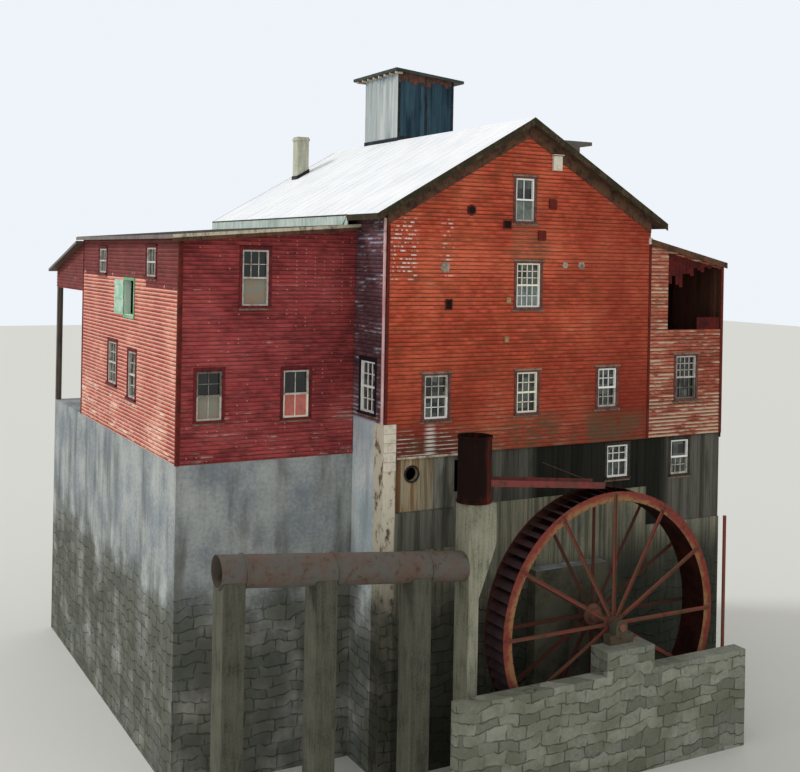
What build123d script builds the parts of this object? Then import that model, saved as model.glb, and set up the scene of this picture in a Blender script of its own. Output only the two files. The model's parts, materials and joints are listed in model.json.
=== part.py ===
from build123d import *
import math
import os

# Driving sizes, in millimetres. X runs along the gable front, Y goes back, Z goes up.
# Zero is the front left corner of the main block, at the foot of its siding.

# Main block
MAIN_WIDTH = 9900
MAIN_LENGTH = 13500
WALL = 200
PLATE_HEIGHT = 7230
ROOF_PITCH = 30
ROOF_THICKNESS = 140
EAVE_OVERHANG = 470
RAKE_OVERHANG = 300
CORNER_STONE_WIDTH = 420
CORNER_STONE_HEIGHT = 990

# Left wing
WING_WIDTH = 5550
WING_SETBACK = 2000
WING_EAVE_DROP = 930
WING_WALL_HEIGHT = PLATE_HEIGHT - WING_EAVE_DROP
WING_ROOF_PITCH = 4.5
WING_ROOF_THICKNESS = 110
WING_OVERHANG = 300
WING_FOOT = -150

# Right wing
RIGHT_WING_WIDTH = 3270
RIGHT_WING_EAVE_DROP = 1450
RIGHT_WING_WALL_HEIGHT = PLATE_HEIGHT - RIGHT_WING_EAVE_DROP
RIGHT_WING_PITCH = 12.4
RIGHT_WING_ROOF_THICKNESS = 110
RIGHT_WING_OVERHANG = 100

# Rear porch
PORCH_DEPTH = 4500
PORCH_DROP = 1050
PORCH_BEAM_DEPTH = 700
PORCH_ROOF_THICKNESS = 100
PORCH_POST = 200
PORCH_ROOF_DROP = 150
PORCH_BEAM_HEIGHT = WING_WALL_HEIGHT - PORCH_ROOF_DROP - PORCH_DROP - PORCH_BEAM_DEPTH

# Foundation and floors
BASE_HEIGHT = -9400
STONE_WALL = 600
FRONT_STONE_TOP = -1600
RIGHT_STONE_TOP = -2880
FLOOR_THICKNESS = 220
LOW_FLOOR = -2900
FIRST_FLOOR = -20
SECOND_FLOOR = 3380
ATTIC_FLOOR = 6420
SEAT = 0.3

# Weathered board walls under the siding
LOWER_BOARD_THICKNESS = 120
LOWER_BOARD_SETBACK = 60
LEFT_BOARDS_END = 2450
LEFT_BOARDS_BOTTOM = -2800
SHAFT_OPENING_SILL = -1180
SHAFT_OPENING = (LEFT_BOARDS_END, SHAFT_OPENING_SILL, 1150, -SHAFT_OPENING_SILL)
PIPE_HOLE_X = 980
PIPE_HOLE_Z = -520
PIPE_HOLE_RADIUS = 200

# Windows: left edge, sill height, width, height
FRONT_WINDOWS = (
    (1330, 1080, 810, 1290),
    (4630, 1100, 770, 1260),
    (7800, 1140, 740, 1240),
    (4550, 4380, 890, 1370),
    (4470, 7050, 690, 1330),
)
FRONT_LOW_WINDOW = (8270, -1190, 860, 1040)
RIGHT_WINDOW_IN = 1210
RIGHT_WINDOW = (MAIN_WIDTH + RIGHT_WINDOW_IN, 1250, 880, 1450)
RIGHT_LOW_WINDOW_IN = 1090
RIGHT_LOW_WINDOW = (MAIN_WIDTH + RIGHT_LOW_WINDOW_IN, -1290, 770, 1150)
LOFT_IN = 800
LOFT_LEFT = MAIN_WIDTH + LOFT_IN
LOFT_SILL = 3580
LOFT_WIDTH = 2400
LOFT_HEADER = 150
SIDE_WINDOW = (570, 1230, 940, 1520)
WING_WINDOWS = (
    (-5000, 1090, 760, 1400),
    (-2330, 1050, 820, 1400),
    (-3680, 4370, 820, 1630),
)
WING_END_WINDOWS = (
    (6250, 1220, 880, 1480),
    (8560, 1440, 1090, 1400),
    (4250, 5140, 1000, 880),
    (10100, 5140, 1000, 830),
)
HATCH = (6600, 3830, 1150, 1130)
PORCH_DOOR = (-4900, 0, 1400, 2300)
FRAME_FACE = 45
FRAME_DEPTH = 130
CASING_WIDTH = 90
CASING_PROUD = 35
SILL_PROUD = 90
SILL_HEIGHT = 70
GLASS_THICKNESS = 6
GLASS_SETBACK = 80

# Cupola, whose left side stands on the ridge
CUPOLA_WIDTH = 2400
CUPOLA_LENGTH = 2720
CUPOLA_FRONT = 8620
CUPOLA_HEIGHT = 2780
CUPOLA_WALL = 120
CUPOLA_PITCH = 5.2
CUPOLA_ROOF_THICKNESS = 110
CUPOLA_NEAR_OVERHANG = 200
CUPOLA_RIGHT_OVERHANG = 380
CUPOLA_BACK_OVERHANG = 740

# Wheel and its water supply
WHEEL_RADIUS = 4000
WHEEL_WIDTH = 1000
WHEEL_CENTRE_X = 6950
WHEEL_CENTRE_Z = -5150
WHEEL_FRONT = 2000
SHROUD_DEPTH = 300
SHROUD_THICKNESS = 12
SOLE_THICKNESS = 8
BUCKET_COUNT = 72
BUCKET_SWEEP = 4.6
BUCKET_BELLY = 0.28
BUCKET_EDGE = 12
BUCKET_THICKNESS = 8
SPOKE_COUNT = 12
SPOKE_WIDTH = 110
SPOKE_THICKNESS = 14
SPOKE_RIB = 50
SPOKE_END = 60
HUB_RADIUS = 330
HUB_FLANGE = 40
HUB_BOSS_RADIUS = 190
HUB_BOSS_LENGTH = 260
AXLE_RADIUS = 110
RUNNING_CLEARANCE = 0.1
BEARING_LENGTH = 320
BEARING_WALL = 110
SPOKE_START = 230
HUB_OUTER_BOSS = 60
AXLE_END = 60
BEARING_GAP = 40
BEARING_HEIGHT = 500

# Stone and steel round the wheel
PIT_GAP = 380
PIT_WALL_THICKNESS = 500
PIT_WALL_TOP = -6350
PIT_WALL_START = 1000
PIT_WALL_END = 11600
BEARING_PIER_WIDTH = 1800
BEARING_PIER_GAP = 100
CORBEL_WIDTH = 900
LEDGE_LEFT = 5200
LEDGE_RIGHT = 7950
LEDGE_DEPTH = 400
LEDGE_TOP = -3750
POST_X = 11150
POST_RADIUS = 55
POST_TOP = -2200

# Flume, standpipe, pedestal and penstock
FLUME_WIDTH = 640
FLUME_HEIGHT = 190
FLUME_PLATE = 10
FLUME_CLEARANCE = 80
FLUME_END = 6700
FLUME_SLOPE = 5.5
FLUME_BOTTOM = WHEEL_CENTRE_Z + WHEEL_RADIUS + FLUME_CLEARANCE
STAY_RADIUS = 12
STAY_WALL_X = 5670
STAY_WALL_HEIGHT = -500
STANDPIPE_X = 2185
STANDPIPE_Y = -1500
STANDPIPE_RADIUS = 490
STANDPIPE_WALL = 10
STANDPIPE_HEIGHT = 1910
STANDPIPE_RIM = 25
STANDPIPE_RIM_HEIGHT = 60
PEDESTAL_GAP = 60
PEDESTAL_TOP = FLUME_BOTTOM - PEDESTAL_GAP
PEDESTAL_LEFT = 1820
PEDESTAL_TOP_WIDTH = 910
PEDESTAL_COLUMN_WIDTH = 340
PEDESTAL_DEPTH = 750
PEDESTAL_HEAD = 1210
HAUNCH_TOP = PEDESTAL_TOP - PEDESTAL_HEAD
HAUNCH_LENGTH = 1500
HAUNCH_BOTTOM = HAUNCH_TOP - HAUNCH_LENGTH
PENSTOCK_RADIUS = 430
PENSTOCK_WALL = 12
PENSTOCK_DROP = 600
PENSTOCK_SLOPE = 5.4
PENSTOCK_PIERS = (-5200, -2600, 300)
PENSTOCK_PIER_WIDTH = 600
PENSTOCK_PIER_DEPTH = 760
FLANGE_RISE = 35
FLANGE_LENGTH = 30

# Small fittings
DOWNSPOUT_RADIUS = 45
DOWNSPOUT_DROP = 230
DOWNSPOUT_TOP = PLATE_HEIGHT - DOWNSPOUT_DROP
CHIMNEY_X = 2860
CHIMNEY_IN = 600
CHIMNEY_Y = MAIN_LENGTH - CHIMNEY_IN
CHIMNEY_WIDTH = 480
CHIMNEY_RISE = 1720
HOOD_FRONT = 1000
HOOD_LENGTH = 2000
HOOD_DROP = 290
HOOD_WALL_X = 7680
HOOD_EAVE = 500
HOOD_THICKNESS = 120
APRON_THICKNESS = 30
SHUTTER_THICKNESS = 40
SHUTTER_WIDTH = 1150
RAKE_BOARD_DEPTH = 420
RAKE_BOARD_THICKNESS = 40

# The model's zero: the middle of its footprint, on the ground
ORIGIN_X = (MAIN_WIDTH + RIGHT_WING_WIDTH + RIGHT_WING_OVERHANG - WING_WIDTH - WING_OVERHANG) / 2
PIT_WALL_BACK = -WHEEL_FRONT - PIT_GAP
ORIGIN_Y = (MAIN_LENGTH + PORCH_DEPTH + WING_OVERHANG + PIT_WALL_BACK - PIT_WALL_THICKNESS) / 2


def box(x0, x1, y0, y1, z0, z1):
    """A plain block between two corners."""
    size = (x1 - x0, y1 - y0, z1 - z0)
    return Pos((x0 + x1) / 2, (y0 + y1) / 2, (z0 + z1) / 2) * Box(*size)


def upright_slab(points, y0, y1):
    """A slab parallel to the gable front, from its outline in X and Z."""
    wire = Polyline(*[(x, y0, z) for x, z in points], close=True)
    return extrude(make_face(wire), amount=y1 - y0, dir=(0, 1, 0))


def side_slab(points, x0, x1):
    """A slab parallel to the side walls, from its outline in Y and Z."""
    wire = Polyline(*[(x0, y, z) for y, z in points], close=True)
    return extrude(make_face(wire), amount=x1 - x0, dir=(1, 0, 0))


PITCH_RISE = math.tan(math.radians(ROOF_PITCH))
ROOF_VERTICAL = ROOF_THICKNESS / math.cos(math.radians(ROOF_PITCH))
RIDGE_UNDERSIDE = PLATE_HEIGHT + MAIN_WIDTH / 2 * PITCH_RISE
WING_RISE = math.tan(math.radians(WING_ROOF_PITCH))
RIGHT_WING_RISE = math.tan(math.radians(RIGHT_WING_PITCH))
PORCH_RISE = PORCH_DROP / PORCH_DEPTH
WING_LEFT = -WING_WIDTH
RIGHT_WING_END = MAIN_WIDTH + RIGHT_WING_WIDTH


def wing_roof_underside(x):
    """Height of the left wing's roof underside."""
    return WING_WALL_HEIGHT + (x - WING_LEFT) * WING_RISE


def right_roof_underside(x):
    """Height of the right wing's roof underside."""
    return RIGHT_WING_WALL_HEIGHT + (RIGHT_WING_END - x) * RIGHT_WING_RISE


def window_hole(window, y0, y1):
    """The hole that a window leaves in a wall parallel to the front."""
    left, sill, width, height = window
    return box(left, left + width, y0, y1, sill, sill + height)


def side_hole(window, x0, x1):
    """The hole that a window leaves in a side wall."""
    near, sill, width, height = window
    return box(x0, x1, near, near + width, sill, sill + height)


def front_wall():
    """The gable front, notched over the corner stones."""
    outline = (
        (CORNER_STONE_WIDTH, 0),
        (MAIN_WIDTH, 0),
        (MAIN_WIDTH, PLATE_HEIGHT),
        (MAIN_WIDTH / 2, RIDGE_UNDERSIDE),
        (0, PLATE_HEIGHT),
        (0, CORNER_STONE_HEIGHT),
        (CORNER_STONE_WIDTH, CORNER_STONE_HEIGHT),
    )
    wall = upright_slab(outline, 0, WALL)
    for window in FRONT_WINDOWS:
        wall -= window_hole(window, 0, WALL)
    return wall


def back_wall():
    """The back of the main block and of both wings, in one plane."""
    y1 = MAIN_LENGTH
    outline = (
        (WING_LEFT, WING_FOOT),
        (RIGHT_WING_END, WING_FOOT),
        (RIGHT_WING_END, right_roof_underside(RIGHT_WING_END)),
        (MAIN_WIDTH, right_roof_underside(MAIN_WIDTH)),
        (MAIN_WIDTH, PLATE_HEIGHT),
        (MAIN_WIDTH / 2, RIDGE_UNDERSIDE),
        (0, PLATE_HEIGHT),
        (0, wing_roof_underside(0)),
        (WING_LEFT, wing_roof_underside(WING_LEFT)),
    )
    wall = upright_slab(outline, y1 - WALL, y1)
    for window in FRONT_WINDOWS + WING_WINDOWS[1:]:
        wall -= window_hole(window, y1 - WALL, y1)
    return wall - window_hole(PORCH_DOOR, y1 - WALL, y1)


def left_wall():
    """The main block's left side wall, over the corner stones."""
    wall = box(0, WALL, WALL, MAIN_LENGTH - WALL, CORNER_STONE_HEIGHT, PLATE_HEIGHT)
    return wall - side_hole(SIDE_WINDOW, 0, WALL)


def right_wall():
    """The main block's right side wall, behind the right wing."""
    return box(MAIN_WIDTH - WALL, MAIN_WIDTH, WALL, MAIN_LENGTH - WALL, WING_FOOT, PLATE_HEIGHT)


def wing_front_wall():
    """The left wing's front, set back from the gable front."""
    y0 = WING_SETBACK
    outline = (
        (WING_LEFT, WING_FOOT),
        (0, WING_FOOT),
        (0, wing_roof_underside(0)),
        (WING_LEFT, wing_roof_underside(WING_LEFT)),
    )
    wall = upright_slab(outline, y0, y0 + WALL)
    for window in WING_WINDOWS:
        wall -= window_hole(window, y0, y0 + WALL)
    return wall


def wing_end_wall():
    """The left wing's long outer wall."""
    x1 = WING_LEFT + WALL
    y0 = WING_SETBACK + WALL
    wall = box(WING_LEFT, x1, y0, MAIN_LENGTH - WALL, WING_FOOT, WING_WALL_HEIGHT)
    for window in WING_END_WINDOWS + (HATCH,):
        wall -= side_hole(window, WING_LEFT, x1)
    return wall


def right_wing_front_wall():
    """The right wing's front, level with the gable front, with its open loft."""
    outline = (
        (MAIN_WIDTH, 0),
        (RIGHT_WING_END, 0),
        (RIGHT_WING_END, right_roof_underside(RIGHT_WING_END)),
        (MAIN_WIDTH, right_roof_underside(MAIN_WIDTH)),
    )
    loft_right = LOFT_LEFT + LOFT_WIDTH
    loft = (
        (LOFT_LEFT, LOFT_SILL),
        (loft_right, LOFT_SILL),
        (loft_right, right_roof_underside(loft_right) - LOFT_HEADER),
        (LOFT_LEFT, right_roof_underside(LOFT_LEFT) - LOFT_HEADER),
    )
    wall = upright_slab(outline, 0, WALL) - upright_slab(loft, 0, WALL)
    return wall - window_hole(RIGHT_WINDOW, 0, WALL)


def right_wing_end_wall():
    """The right wing's long outer wall."""
    x0 = RIGHT_WING_END - WALL
    wall = box(x0, RIGHT_WING_END, WALL, MAIN_LENGTH - WALL, WING_FOOT, RIGHT_WING_WALL_HEIGHT)
    for window in WING_END_WINDOWS[:2]:
        wall -= side_hole(window, x0, RIGHT_WING_END)
    return wall


def lower_boards():
    """Weathered upright boards between the siding and the stone."""
    y0 = LOWER_BOARD_SETBACK
    y1 = y0 + LOWER_BOARD_THICKNESS
    left = box(CORNER_STONE_WIDTH, LEFT_BOARDS_END - SEAT, y0, y1, LEFT_BOARDS_BOTTOM, 0)
    pipe_hole = Plane(origin=(PIPE_HOLE_X, y0, PIPE_HOLE_Z), z_dir=(0, 1, 0)) * Circle(PIPE_HOLE_RADIUS)
    left -= extrude(pipe_hole, amount=LOWER_BOARD_THICKNESS)
    middle = box(LEFT_BOARDS_END, MAIN_WIDTH, y0, y1, FRONT_STONE_TOP, 0)
    for hole in (FRONT_LOW_WINDOW, SHAFT_OPENING):
        middle -= window_hole(hole, y0, y1)
    right = box(MAIN_WIDTH, RIGHT_WING_END, y0, y1, RIGHT_STONE_TOP, 0)
    return [left, middle, right - window_hole(RIGHT_LOW_WINDOW, y0, y1)]


def main_roof(side):
    """One slope of the main roof; side is -1 for the left and 1 for the right."""
    middle = MAIN_WIDTH / 2
    reach = middle + EAVE_OVERHANG
    eave = RIDGE_UNDERSIDE - reach * PITCH_RISE
    outline = (
        (middle, RIDGE_UNDERSIDE),
        (middle + side * reach, eave),
        (middle + side * reach, eave + ROOF_VERTICAL),
        (middle, RIDGE_UNDERSIDE + ROOF_VERTICAL),
    )
    return upright_slab(outline, -RAKE_OVERHANG, MAIN_LENGTH + RAKE_OVERHANG)


def wing_roof():
    """The left wing's low roof, which falls away from the main block."""
    left = WING_LEFT - WING_OVERHANG
    outline = (
        (left, wing_roof_underside(left)),
        (0, wing_roof_underside(0)),
        (0, wing_roof_underside(0) + WING_ROOF_THICKNESS),
        (left, wing_roof_underside(left) + WING_ROOF_THICKNESS),
    )
    return upright_slab(outline, WING_SETBACK - WING_OVERHANG, MAIN_LENGTH)


def right_wing_roof():
    """The right wing's roof, which falls away from the main block."""
    right = RIGHT_WING_END + RIGHT_WING_OVERHANG
    outline = (
        (MAIN_WIDTH, right_roof_underside(MAIN_WIDTH)),
        (right, right_roof_underside(right)),
        (right, right_roof_underside(right) + RIGHT_WING_ROOF_THICKNESS),
        (MAIN_WIDTH, right_roof_underside(MAIN_WIDTH) + RIGHT_WING_ROOF_THICKNESS),
    )
    return upright_slab(outline, -RIGHT_WING_OVERHANG, MAIN_LENGTH)


def front_foundation():
    """The stone wall behind the wheel, stepped up at the left corner."""
    outline = (
        (0, BASE_HEIGHT),
        (RIGHT_WING_END, BASE_HEIGHT),
        (RIGHT_WING_END, RIGHT_STONE_TOP),
        (MAIN_WIDTH, RIGHT_STONE_TOP),
        (MAIN_WIDTH, FRONT_STONE_TOP),
        (LEFT_BOARDS_END, FRONT_STONE_TOP),
        (LEFT_BOARDS_END, LEFT_BOARDS_BOTTOM),
        (CORNER_STONE_WIDTH, LEFT_BOARDS_BOTTOM),
        (CORNER_STONE_WIDTH, CORNER_STONE_HEIGHT),
        (0, CORNER_STONE_HEIGHT),
    )
    return upright_slab(outline, 0, STONE_WALL)


def side_foundations():
    """Stone walls that carry the main block's two side walls."""
    y0 = STONE_WALL + SEAT
    y1 = MAIN_LENGTH - STONE_WALL - SEAT
    left = box(0, STONE_WALL, y0, y1, BASE_HEIGHT, CORNER_STONE_HEIGHT)
    right = box(MAIN_WIDTH - STONE_WALL, MAIN_WIDTH, y0, y1, BASE_HEIGHT, WING_FOOT)
    return [left, right]


def back_foundation():
    """The stone wall along the back."""
    return box(WING_LEFT, RIGHT_WING_END, MAIN_LENGTH - STONE_WALL, MAIN_LENGTH, BASE_HEIGHT, WING_FOOT)


def wing_front_foundation():
    """The left wing's stone front wall."""
    y0 = WING_SETBACK
    return box(WING_LEFT, 0, y0, y0 + STONE_WALL, BASE_HEIGHT, WING_FOOT)


def wing_end_foundation():
    """The left wing's stone end wall."""
    y0 = WING_SETBACK + STONE_WALL
    return box(WING_LEFT, WING_LEFT + STONE_WALL, y0, MAIN_LENGTH - STONE_WALL, BASE_HEIGHT, WING_FOOT)


def right_wing_end_foundation():
    """The right wing's stone end wall."""
    x0 = RIGHT_WING_END - STONE_WALL
    y1 = MAIN_LENGTH - STONE_WALL
    return box(x0, RIGHT_WING_END, STONE_WALL, y1, BASE_HEIGHT, WING_FOOT)


def disc(radius, y0, y1):
    """A cylinder on the wheel's own axis."""
    place = Plane(origin=(WHEEL_CENTRE_X, y0, WHEEL_CENTRE_Z), x_dir=(1, 0, 0), z_dir=(0, 1, 0))
    return extrude(place * Circle(radius), amount=y1 - y0)


def tube(outer, inner, y0, y1):
    """A ring on the wheel's own axis."""
    return disc(outer, y0, y1) - disc(inner, y0, y1)


WHEEL_BACK = WHEEL_FRONT - WHEEL_WIDTH
SOLE_RADIUS = WHEEL_RADIUS - SHROUD_DEPTH
INNER_FRONT = -WHEEL_FRONT + SHROUD_THICKNESS
INNER_BACK = -WHEEL_BACK - SHROUD_THICKNESS


def on_wheel(shape, angle):
    """A copy of a shape turned about the wheel's own axis."""
    axis = Axis((WHEEL_CENTRE_X, 0, WHEEL_CENTRE_Z), (0, 1, 0))
    return shape.rotate(axis, angle)


def wheel_shrouds():
    """The two steel rings that hold the buckets between them."""
    front = tube(WHEEL_RADIUS, SOLE_RADIUS, -WHEEL_FRONT, INNER_FRONT)
    back = tube(WHEEL_RADIUS, SOLE_RADIUS, INNER_BACK, -WHEEL_BACK)
    return [front, back]


def wheel_sole():
    """The thin drum that closes the buckets on their inner side."""
    return tube(SOLE_RADIUS, SOLE_RADIUS - SOLE_THICKNESS, INNER_FRONT, INNER_BACK)


def wheel_buckets():
    """Curved plates between the shrouds, from the sole to the rim."""
    reach = math.radians(BUCKET_SWEEP)
    middle = reach * BUCKET_BELLY
    half = (SOLE_RADIUS + WHEEL_RADIUS) / 2

    def at(radius, angle):
        x = WHEEL_CENTRE_X + radius * math.sin(angle)
        z = WHEEL_CENTRE_Z + radius * math.cos(angle)
        return (x, INNER_FRONT, z)

    inner = ThreePointArc(at(SOLE_RADIUS, 0), at(half, -middle), at(WHEEL_RADIUS - BUCKET_EDGE, -reach))
    shift = BUCKET_THICKNESS / SOLE_RADIUS
    outer = ThreePointArc(
        at(WHEEL_RADIUS - BUCKET_EDGE, -reach + shift),
        at(half, -middle + shift),
        at(SOLE_RADIUS, shift),
    )
    profile = make_face([inner, Line(inner @ 1, outer @ 0), outer, Line(outer @ 1, inner @ 0)])
    plate = extrude(profile, amount=INNER_BACK - INNER_FRONT, dir=(0, 1, 0))
    plate -= disc(SOLE_RADIUS, INNER_FRONT, INNER_BACK)
    return [on_wheel(plate, n * 360 / BUCKET_COUNT) for n in range(BUCKET_COUNT)]


def wheel_spokes():
    """Angle-iron arms, bolted to the outer faces of both hubs and shrouds."""
    x0 = WHEEL_CENTRE_X - SPOKE_WIDTH / 2
    x1 = WHEEL_CENTRE_X + SPOKE_WIDTH / 2
    z0 = WHEEL_CENTRE_Z + SPOKE_START
    z1 = WHEEL_CENTRE_Z + WHEEL_RADIUS - SPOKE_END
    arms = []
    for face, outward in ((-WHEEL_FRONT, -1), (-WHEEL_BACK, 1)):
        flat = sorted((face, face + outward * SPOKE_THICKNESS))
        rib = sorted((face, face + outward * SPOKE_RIB))
        arms.append(box(x0, x1, *flat, z0, z1) + box(x1 - SPOKE_THICKNESS, x1, *rib, z0, z1))
    turns = [n * 360 / SPOKE_COUNT for n in range(SPOKE_COUNT)]
    return [on_wheel(arm, turn) for turn in turns for arm in arms]


def wheel_hubs():
    """A flanged hub behind each ring of arms."""
    hubs = []
    for face, inward in ((-WHEEL_FRONT, 1), (-WHEEL_BACK, -1)):
        flange = sorted((face, face + inward * HUB_FLANGE))
        boss = sorted((face - inward * HUB_OUTER_BOSS, face + inward * HUB_BOSS_LENGTH))
        hub = disc(HUB_RADIUS, *flange) + disc(HUB_BOSS_RADIUS, *boss)
        hubs.append(hub - disc(AXLE_RADIUS, *boss))
    return hubs


def bearing_ends():
    """Where the front and back bearings begin and end along the axle."""
    front = -WHEEL_FRONT - HUB_OUTER_BOSS - BEARING_GAP - BEARING_LENGTH
    back = -WHEEL_BACK + HUB_OUTER_BOSS + BEARING_GAP
    return (front, front + BEARING_LENGTH), (back, back + BEARING_LENGTH)


def wheel_axle():
    """The axle, through both hubs and both bearings."""
    front, back = bearing_ends()
    return disc(AXLE_RADIUS, front[0] - AXLE_END, back[1] + AXLE_END)


def axle_bearings():
    """Two bearing blocks that the axle turns in."""
    blocks = []
    x = WHEEL_CENTRE_X
    z = WHEEL_CENTRE_Z
    reach = AXLE_RADIUS + BEARING_WALL
    for y0, y1 in bearing_ends():
        foot = box(x - 2 * reach, x + 2 * reach, y0, y1, z - BEARING_HEIGHT, z - reach)
        body = box(x - reach, x + reach, y0, y1, z - reach, z)
        block = foot + body + disc(reach, y0, y1)
        blocks.append(block - disc(AXLE_RADIUS + RUNNING_CLEARANCE, y0, y1))
    return blocks


def pit_wall():
    """The stone wall in front of the wheel, with a pier under the front bearing."""
    y0 = PIT_WALL_BACK - PIT_WALL_THICKNESS
    pier_top = WHEEL_CENTRE_Z - BEARING_HEIGHT
    pier_left = WHEEL_CENTRE_X - BEARING_PIER_WIDTH / 2
    pier_right = WHEEL_CENTRE_X + BEARING_PIER_WIDTH / 2
    wall = box(PIT_WALL_START, PIT_WALL_END, y0, PIT_WALL_BACK, BASE_HEIGHT, PIT_WALL_TOP)
    return wall + box(pier_left, pier_right, y0, -WHEEL_FRONT - BEARING_PIER_GAP, BASE_HEIGHT, pier_top)


def wall_corbel():
    """The stone block under the back bearing, against the ledge."""
    x0 = WHEEL_CENTRE_X - CORBEL_WIDTH / 2
    x1 = WHEEL_CENTRE_X + CORBEL_WIDTH / 2
    return box(x0, x1, bearing_ends()[1][0], -LEDGE_DEPTH, BASE_HEIGHT, WHEEL_CENTRE_Z - BEARING_HEIGHT)


def pit_ledge():
    """The thicker foot of the stone wall behind the wheel."""
    return box(LEDGE_LEFT, LEDGE_RIGHT, -LEDGE_DEPTH, 0, BASE_HEIGHT, LEDGE_TOP)


def steel_post():
    """The red post beside the wheel."""
    y = PIT_WALL_BACK + POST_RADIUS + SEAT
    post = Cylinder(POST_RADIUS, POST_TOP - BASE_HEIGHT, align=(Align.CENTER, Align.CENTER, Align.MIN))
    return Pos(POST_X, y, BASE_HEIGHT) * post


def standpipe_cylinder(radius, z0, z1):
    """An upright cylinder on the standpipe's own axis."""
    shape = Cylinder(radius, z1 - z0, align=(Align.CENTER, Align.CENTER, Align.MIN))
    return Pos(STANDPIPE_X, STANDPIPE_Y, z0) * shape


STANDPIPE_TOP = PEDESTAL_TOP + STANDPIPE_HEIGHT


def standpipe():
    """The open-topped steel tank that feeds the flume, with a rim at each end."""
    foot_rim = PEDESTAL_TOP + STANDPIPE_RIM_HEIGHT
    head_rim = STANDPIPE_TOP - STANDPIPE_RIM_HEIGHT
    shell = standpipe_cylinder(STANDPIPE_RADIUS, PEDESTAL_TOP, STANDPIPE_TOP)
    shell += standpipe_cylinder(STANDPIPE_RADIUS + STANDPIPE_RIM, PEDESTAL_TOP, foot_rim)
    shell += standpipe_cylinder(STANDPIPE_RADIUS + STANDPIPE_RIM, head_rim, STANDPIPE_TOP)
    shell -= standpipe_cylinder(STANDPIPE_RADIUS - STANDPIPE_WALL, PEDESTAL_TOP, STANDPIPE_TOP)
    return shell - flume_channel(FLUME_PLATE)


def pedestal():
    """The concrete pedestal, a column with a haunch on its right that carries the standpipe."""
    top_right = PEDESTAL_LEFT + PEDESTAL_TOP_WIDTH
    column_right = PEDESTAL_LEFT + PEDESTAL_COLUMN_WIDTH
    outline = (
        (PEDESTAL_LEFT, BASE_HEIGHT),
        (column_right, BASE_HEIGHT),
        (column_right, HAUNCH_BOTTOM),
        (top_right, HAUNCH_TOP),
        (top_right, PEDESTAL_TOP),
        (PEDESTAL_LEFT, PEDESTAL_TOP),
    )
    return upright_slab(outline, STANDPIPE_Y - PEDESTAL_DEPTH / 2, STANDPIPE_Y + PEDESTAL_DEPTH / 2)


PENSTOCK_RISE = math.tan(math.radians(PENSTOCK_SLOPE))


def penstock_axis(x):
    """Height of the penstock's axis."""
    return HAUNCH_TOP - PENSTOCK_DROP + (PEDESTAL_LEFT - x) * PENSTOCK_RISE


def penstock_solid(radius, x0, x1):
    """A full cylinder along the penstock, cut upright at both ends."""
    reach = radius * PENSTOCK_RISE
    start = Vector(x1 + reach, STANDPIPE_Y, penstock_axis(x1 + reach))
    end = Vector(x0 - reach, STANDPIPE_Y, penstock_axis(x0 - reach))
    place = Plane(origin=start, x_dir=(0, 1, 0), z_dir=end - start)
    solid = extrude(place * Circle(radius), amount=(end - start).length)
    y0 = STANDPIPE_Y - radius
    y1 = STANDPIPE_Y + radius
    return solid & box(x0, x1, y0, y1, penstock_axis(x1) - 2 * radius, penstock_axis(x0) + 2 * radius)


def penstock():
    """The big supply pipe, from the pedestal to the left wing's corner, with its joint rings."""
    pipe = penstock_solid(PENSTOCK_RADIUS, WING_LEFT, PEDESTAL_LEFT)
    for x in PENSTOCK_PIERS:
        ring = x + PENSTOCK_PIER_WIDTH / 2 + FLANGE_LENGTH
        pipe += penstock_solid(PENSTOCK_RADIUS + FLANGE_RISE, ring, ring + FLANGE_LENGTH)
    return pipe - penstock_solid(PENSTOCK_RADIUS - PENSTOCK_WALL, WING_LEFT, PEDESTAL_LEFT)


def penstock_piers():
    """Piers with round saddles under the penstock."""
    piers = []
    half = PENSTOCK_PIER_WIDTH / 2
    y0 = STANDPIPE_Y - PENSTOCK_PIER_DEPTH / 2
    y1 = STANDPIPE_Y + PENSTOCK_PIER_DEPTH / 2
    for x in PENSTOCK_PIERS:
        pier = box(x - half, x + half, y0, y1, BASE_HEIGHT, penstock_axis(x) - PENSTOCK_RADIUS / 2)
        piers.append(pier - penstock_solid(PENSTOCK_RADIUS, x - half, x + half))
    return piers


def flume_channel(inset):
    """The space inside the flume's outline, drawn in from its sides and bottom."""
    slope = math.radians(FLUME_SLOPE)
    start = Vector(FLUME_END, STANDPIPE_Y, FLUME_BOTTOM)
    place = Plane(origin=start, x_dir=(0, 1, 0), z_dir=(-math.cos(slope), 0, math.sin(slope)))
    width = FLUME_WIDTH - 2 * inset
    height = FLUME_HEIGHT - inset
    middle = -(inset + FLUME_HEIGHT) / 2
    length = (FLUME_END - STANDPIPE_X) / math.cos(slope)
    return extrude(place * Pos(0, middle) * Rectangle(width, height), amount=length)


def flume():
    """The open channel that falls from the standpipe to the top of the wheel."""
    channel = flume_channel(0) - flume_channel(FLUME_PLATE)
    return channel - standpipe_cylinder(STANDPIPE_RADIUS, PEDESTAL_TOP, STANDPIPE_TOP)


def flume_stays():
    """The rod that ties the flume's end back to the wall."""
    y = STANDPIPE_Y + FLUME_WIDTH / 2
    start = Vector(FLUME_END - STAY_RADIUS, y, FLUME_BOTTOM + FLUME_HEIGHT / 2)
    end = Vector(STAY_WALL_X, LOWER_BOARD_SETBACK, STAY_WALL_HEIGHT)
    rod = extrude(Plane(origin=start, z_dir=end - start) * Circle(STAY_RADIUS), amount=(end - start).length)
    return rod - lower_boards()[1] - flume()


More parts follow.
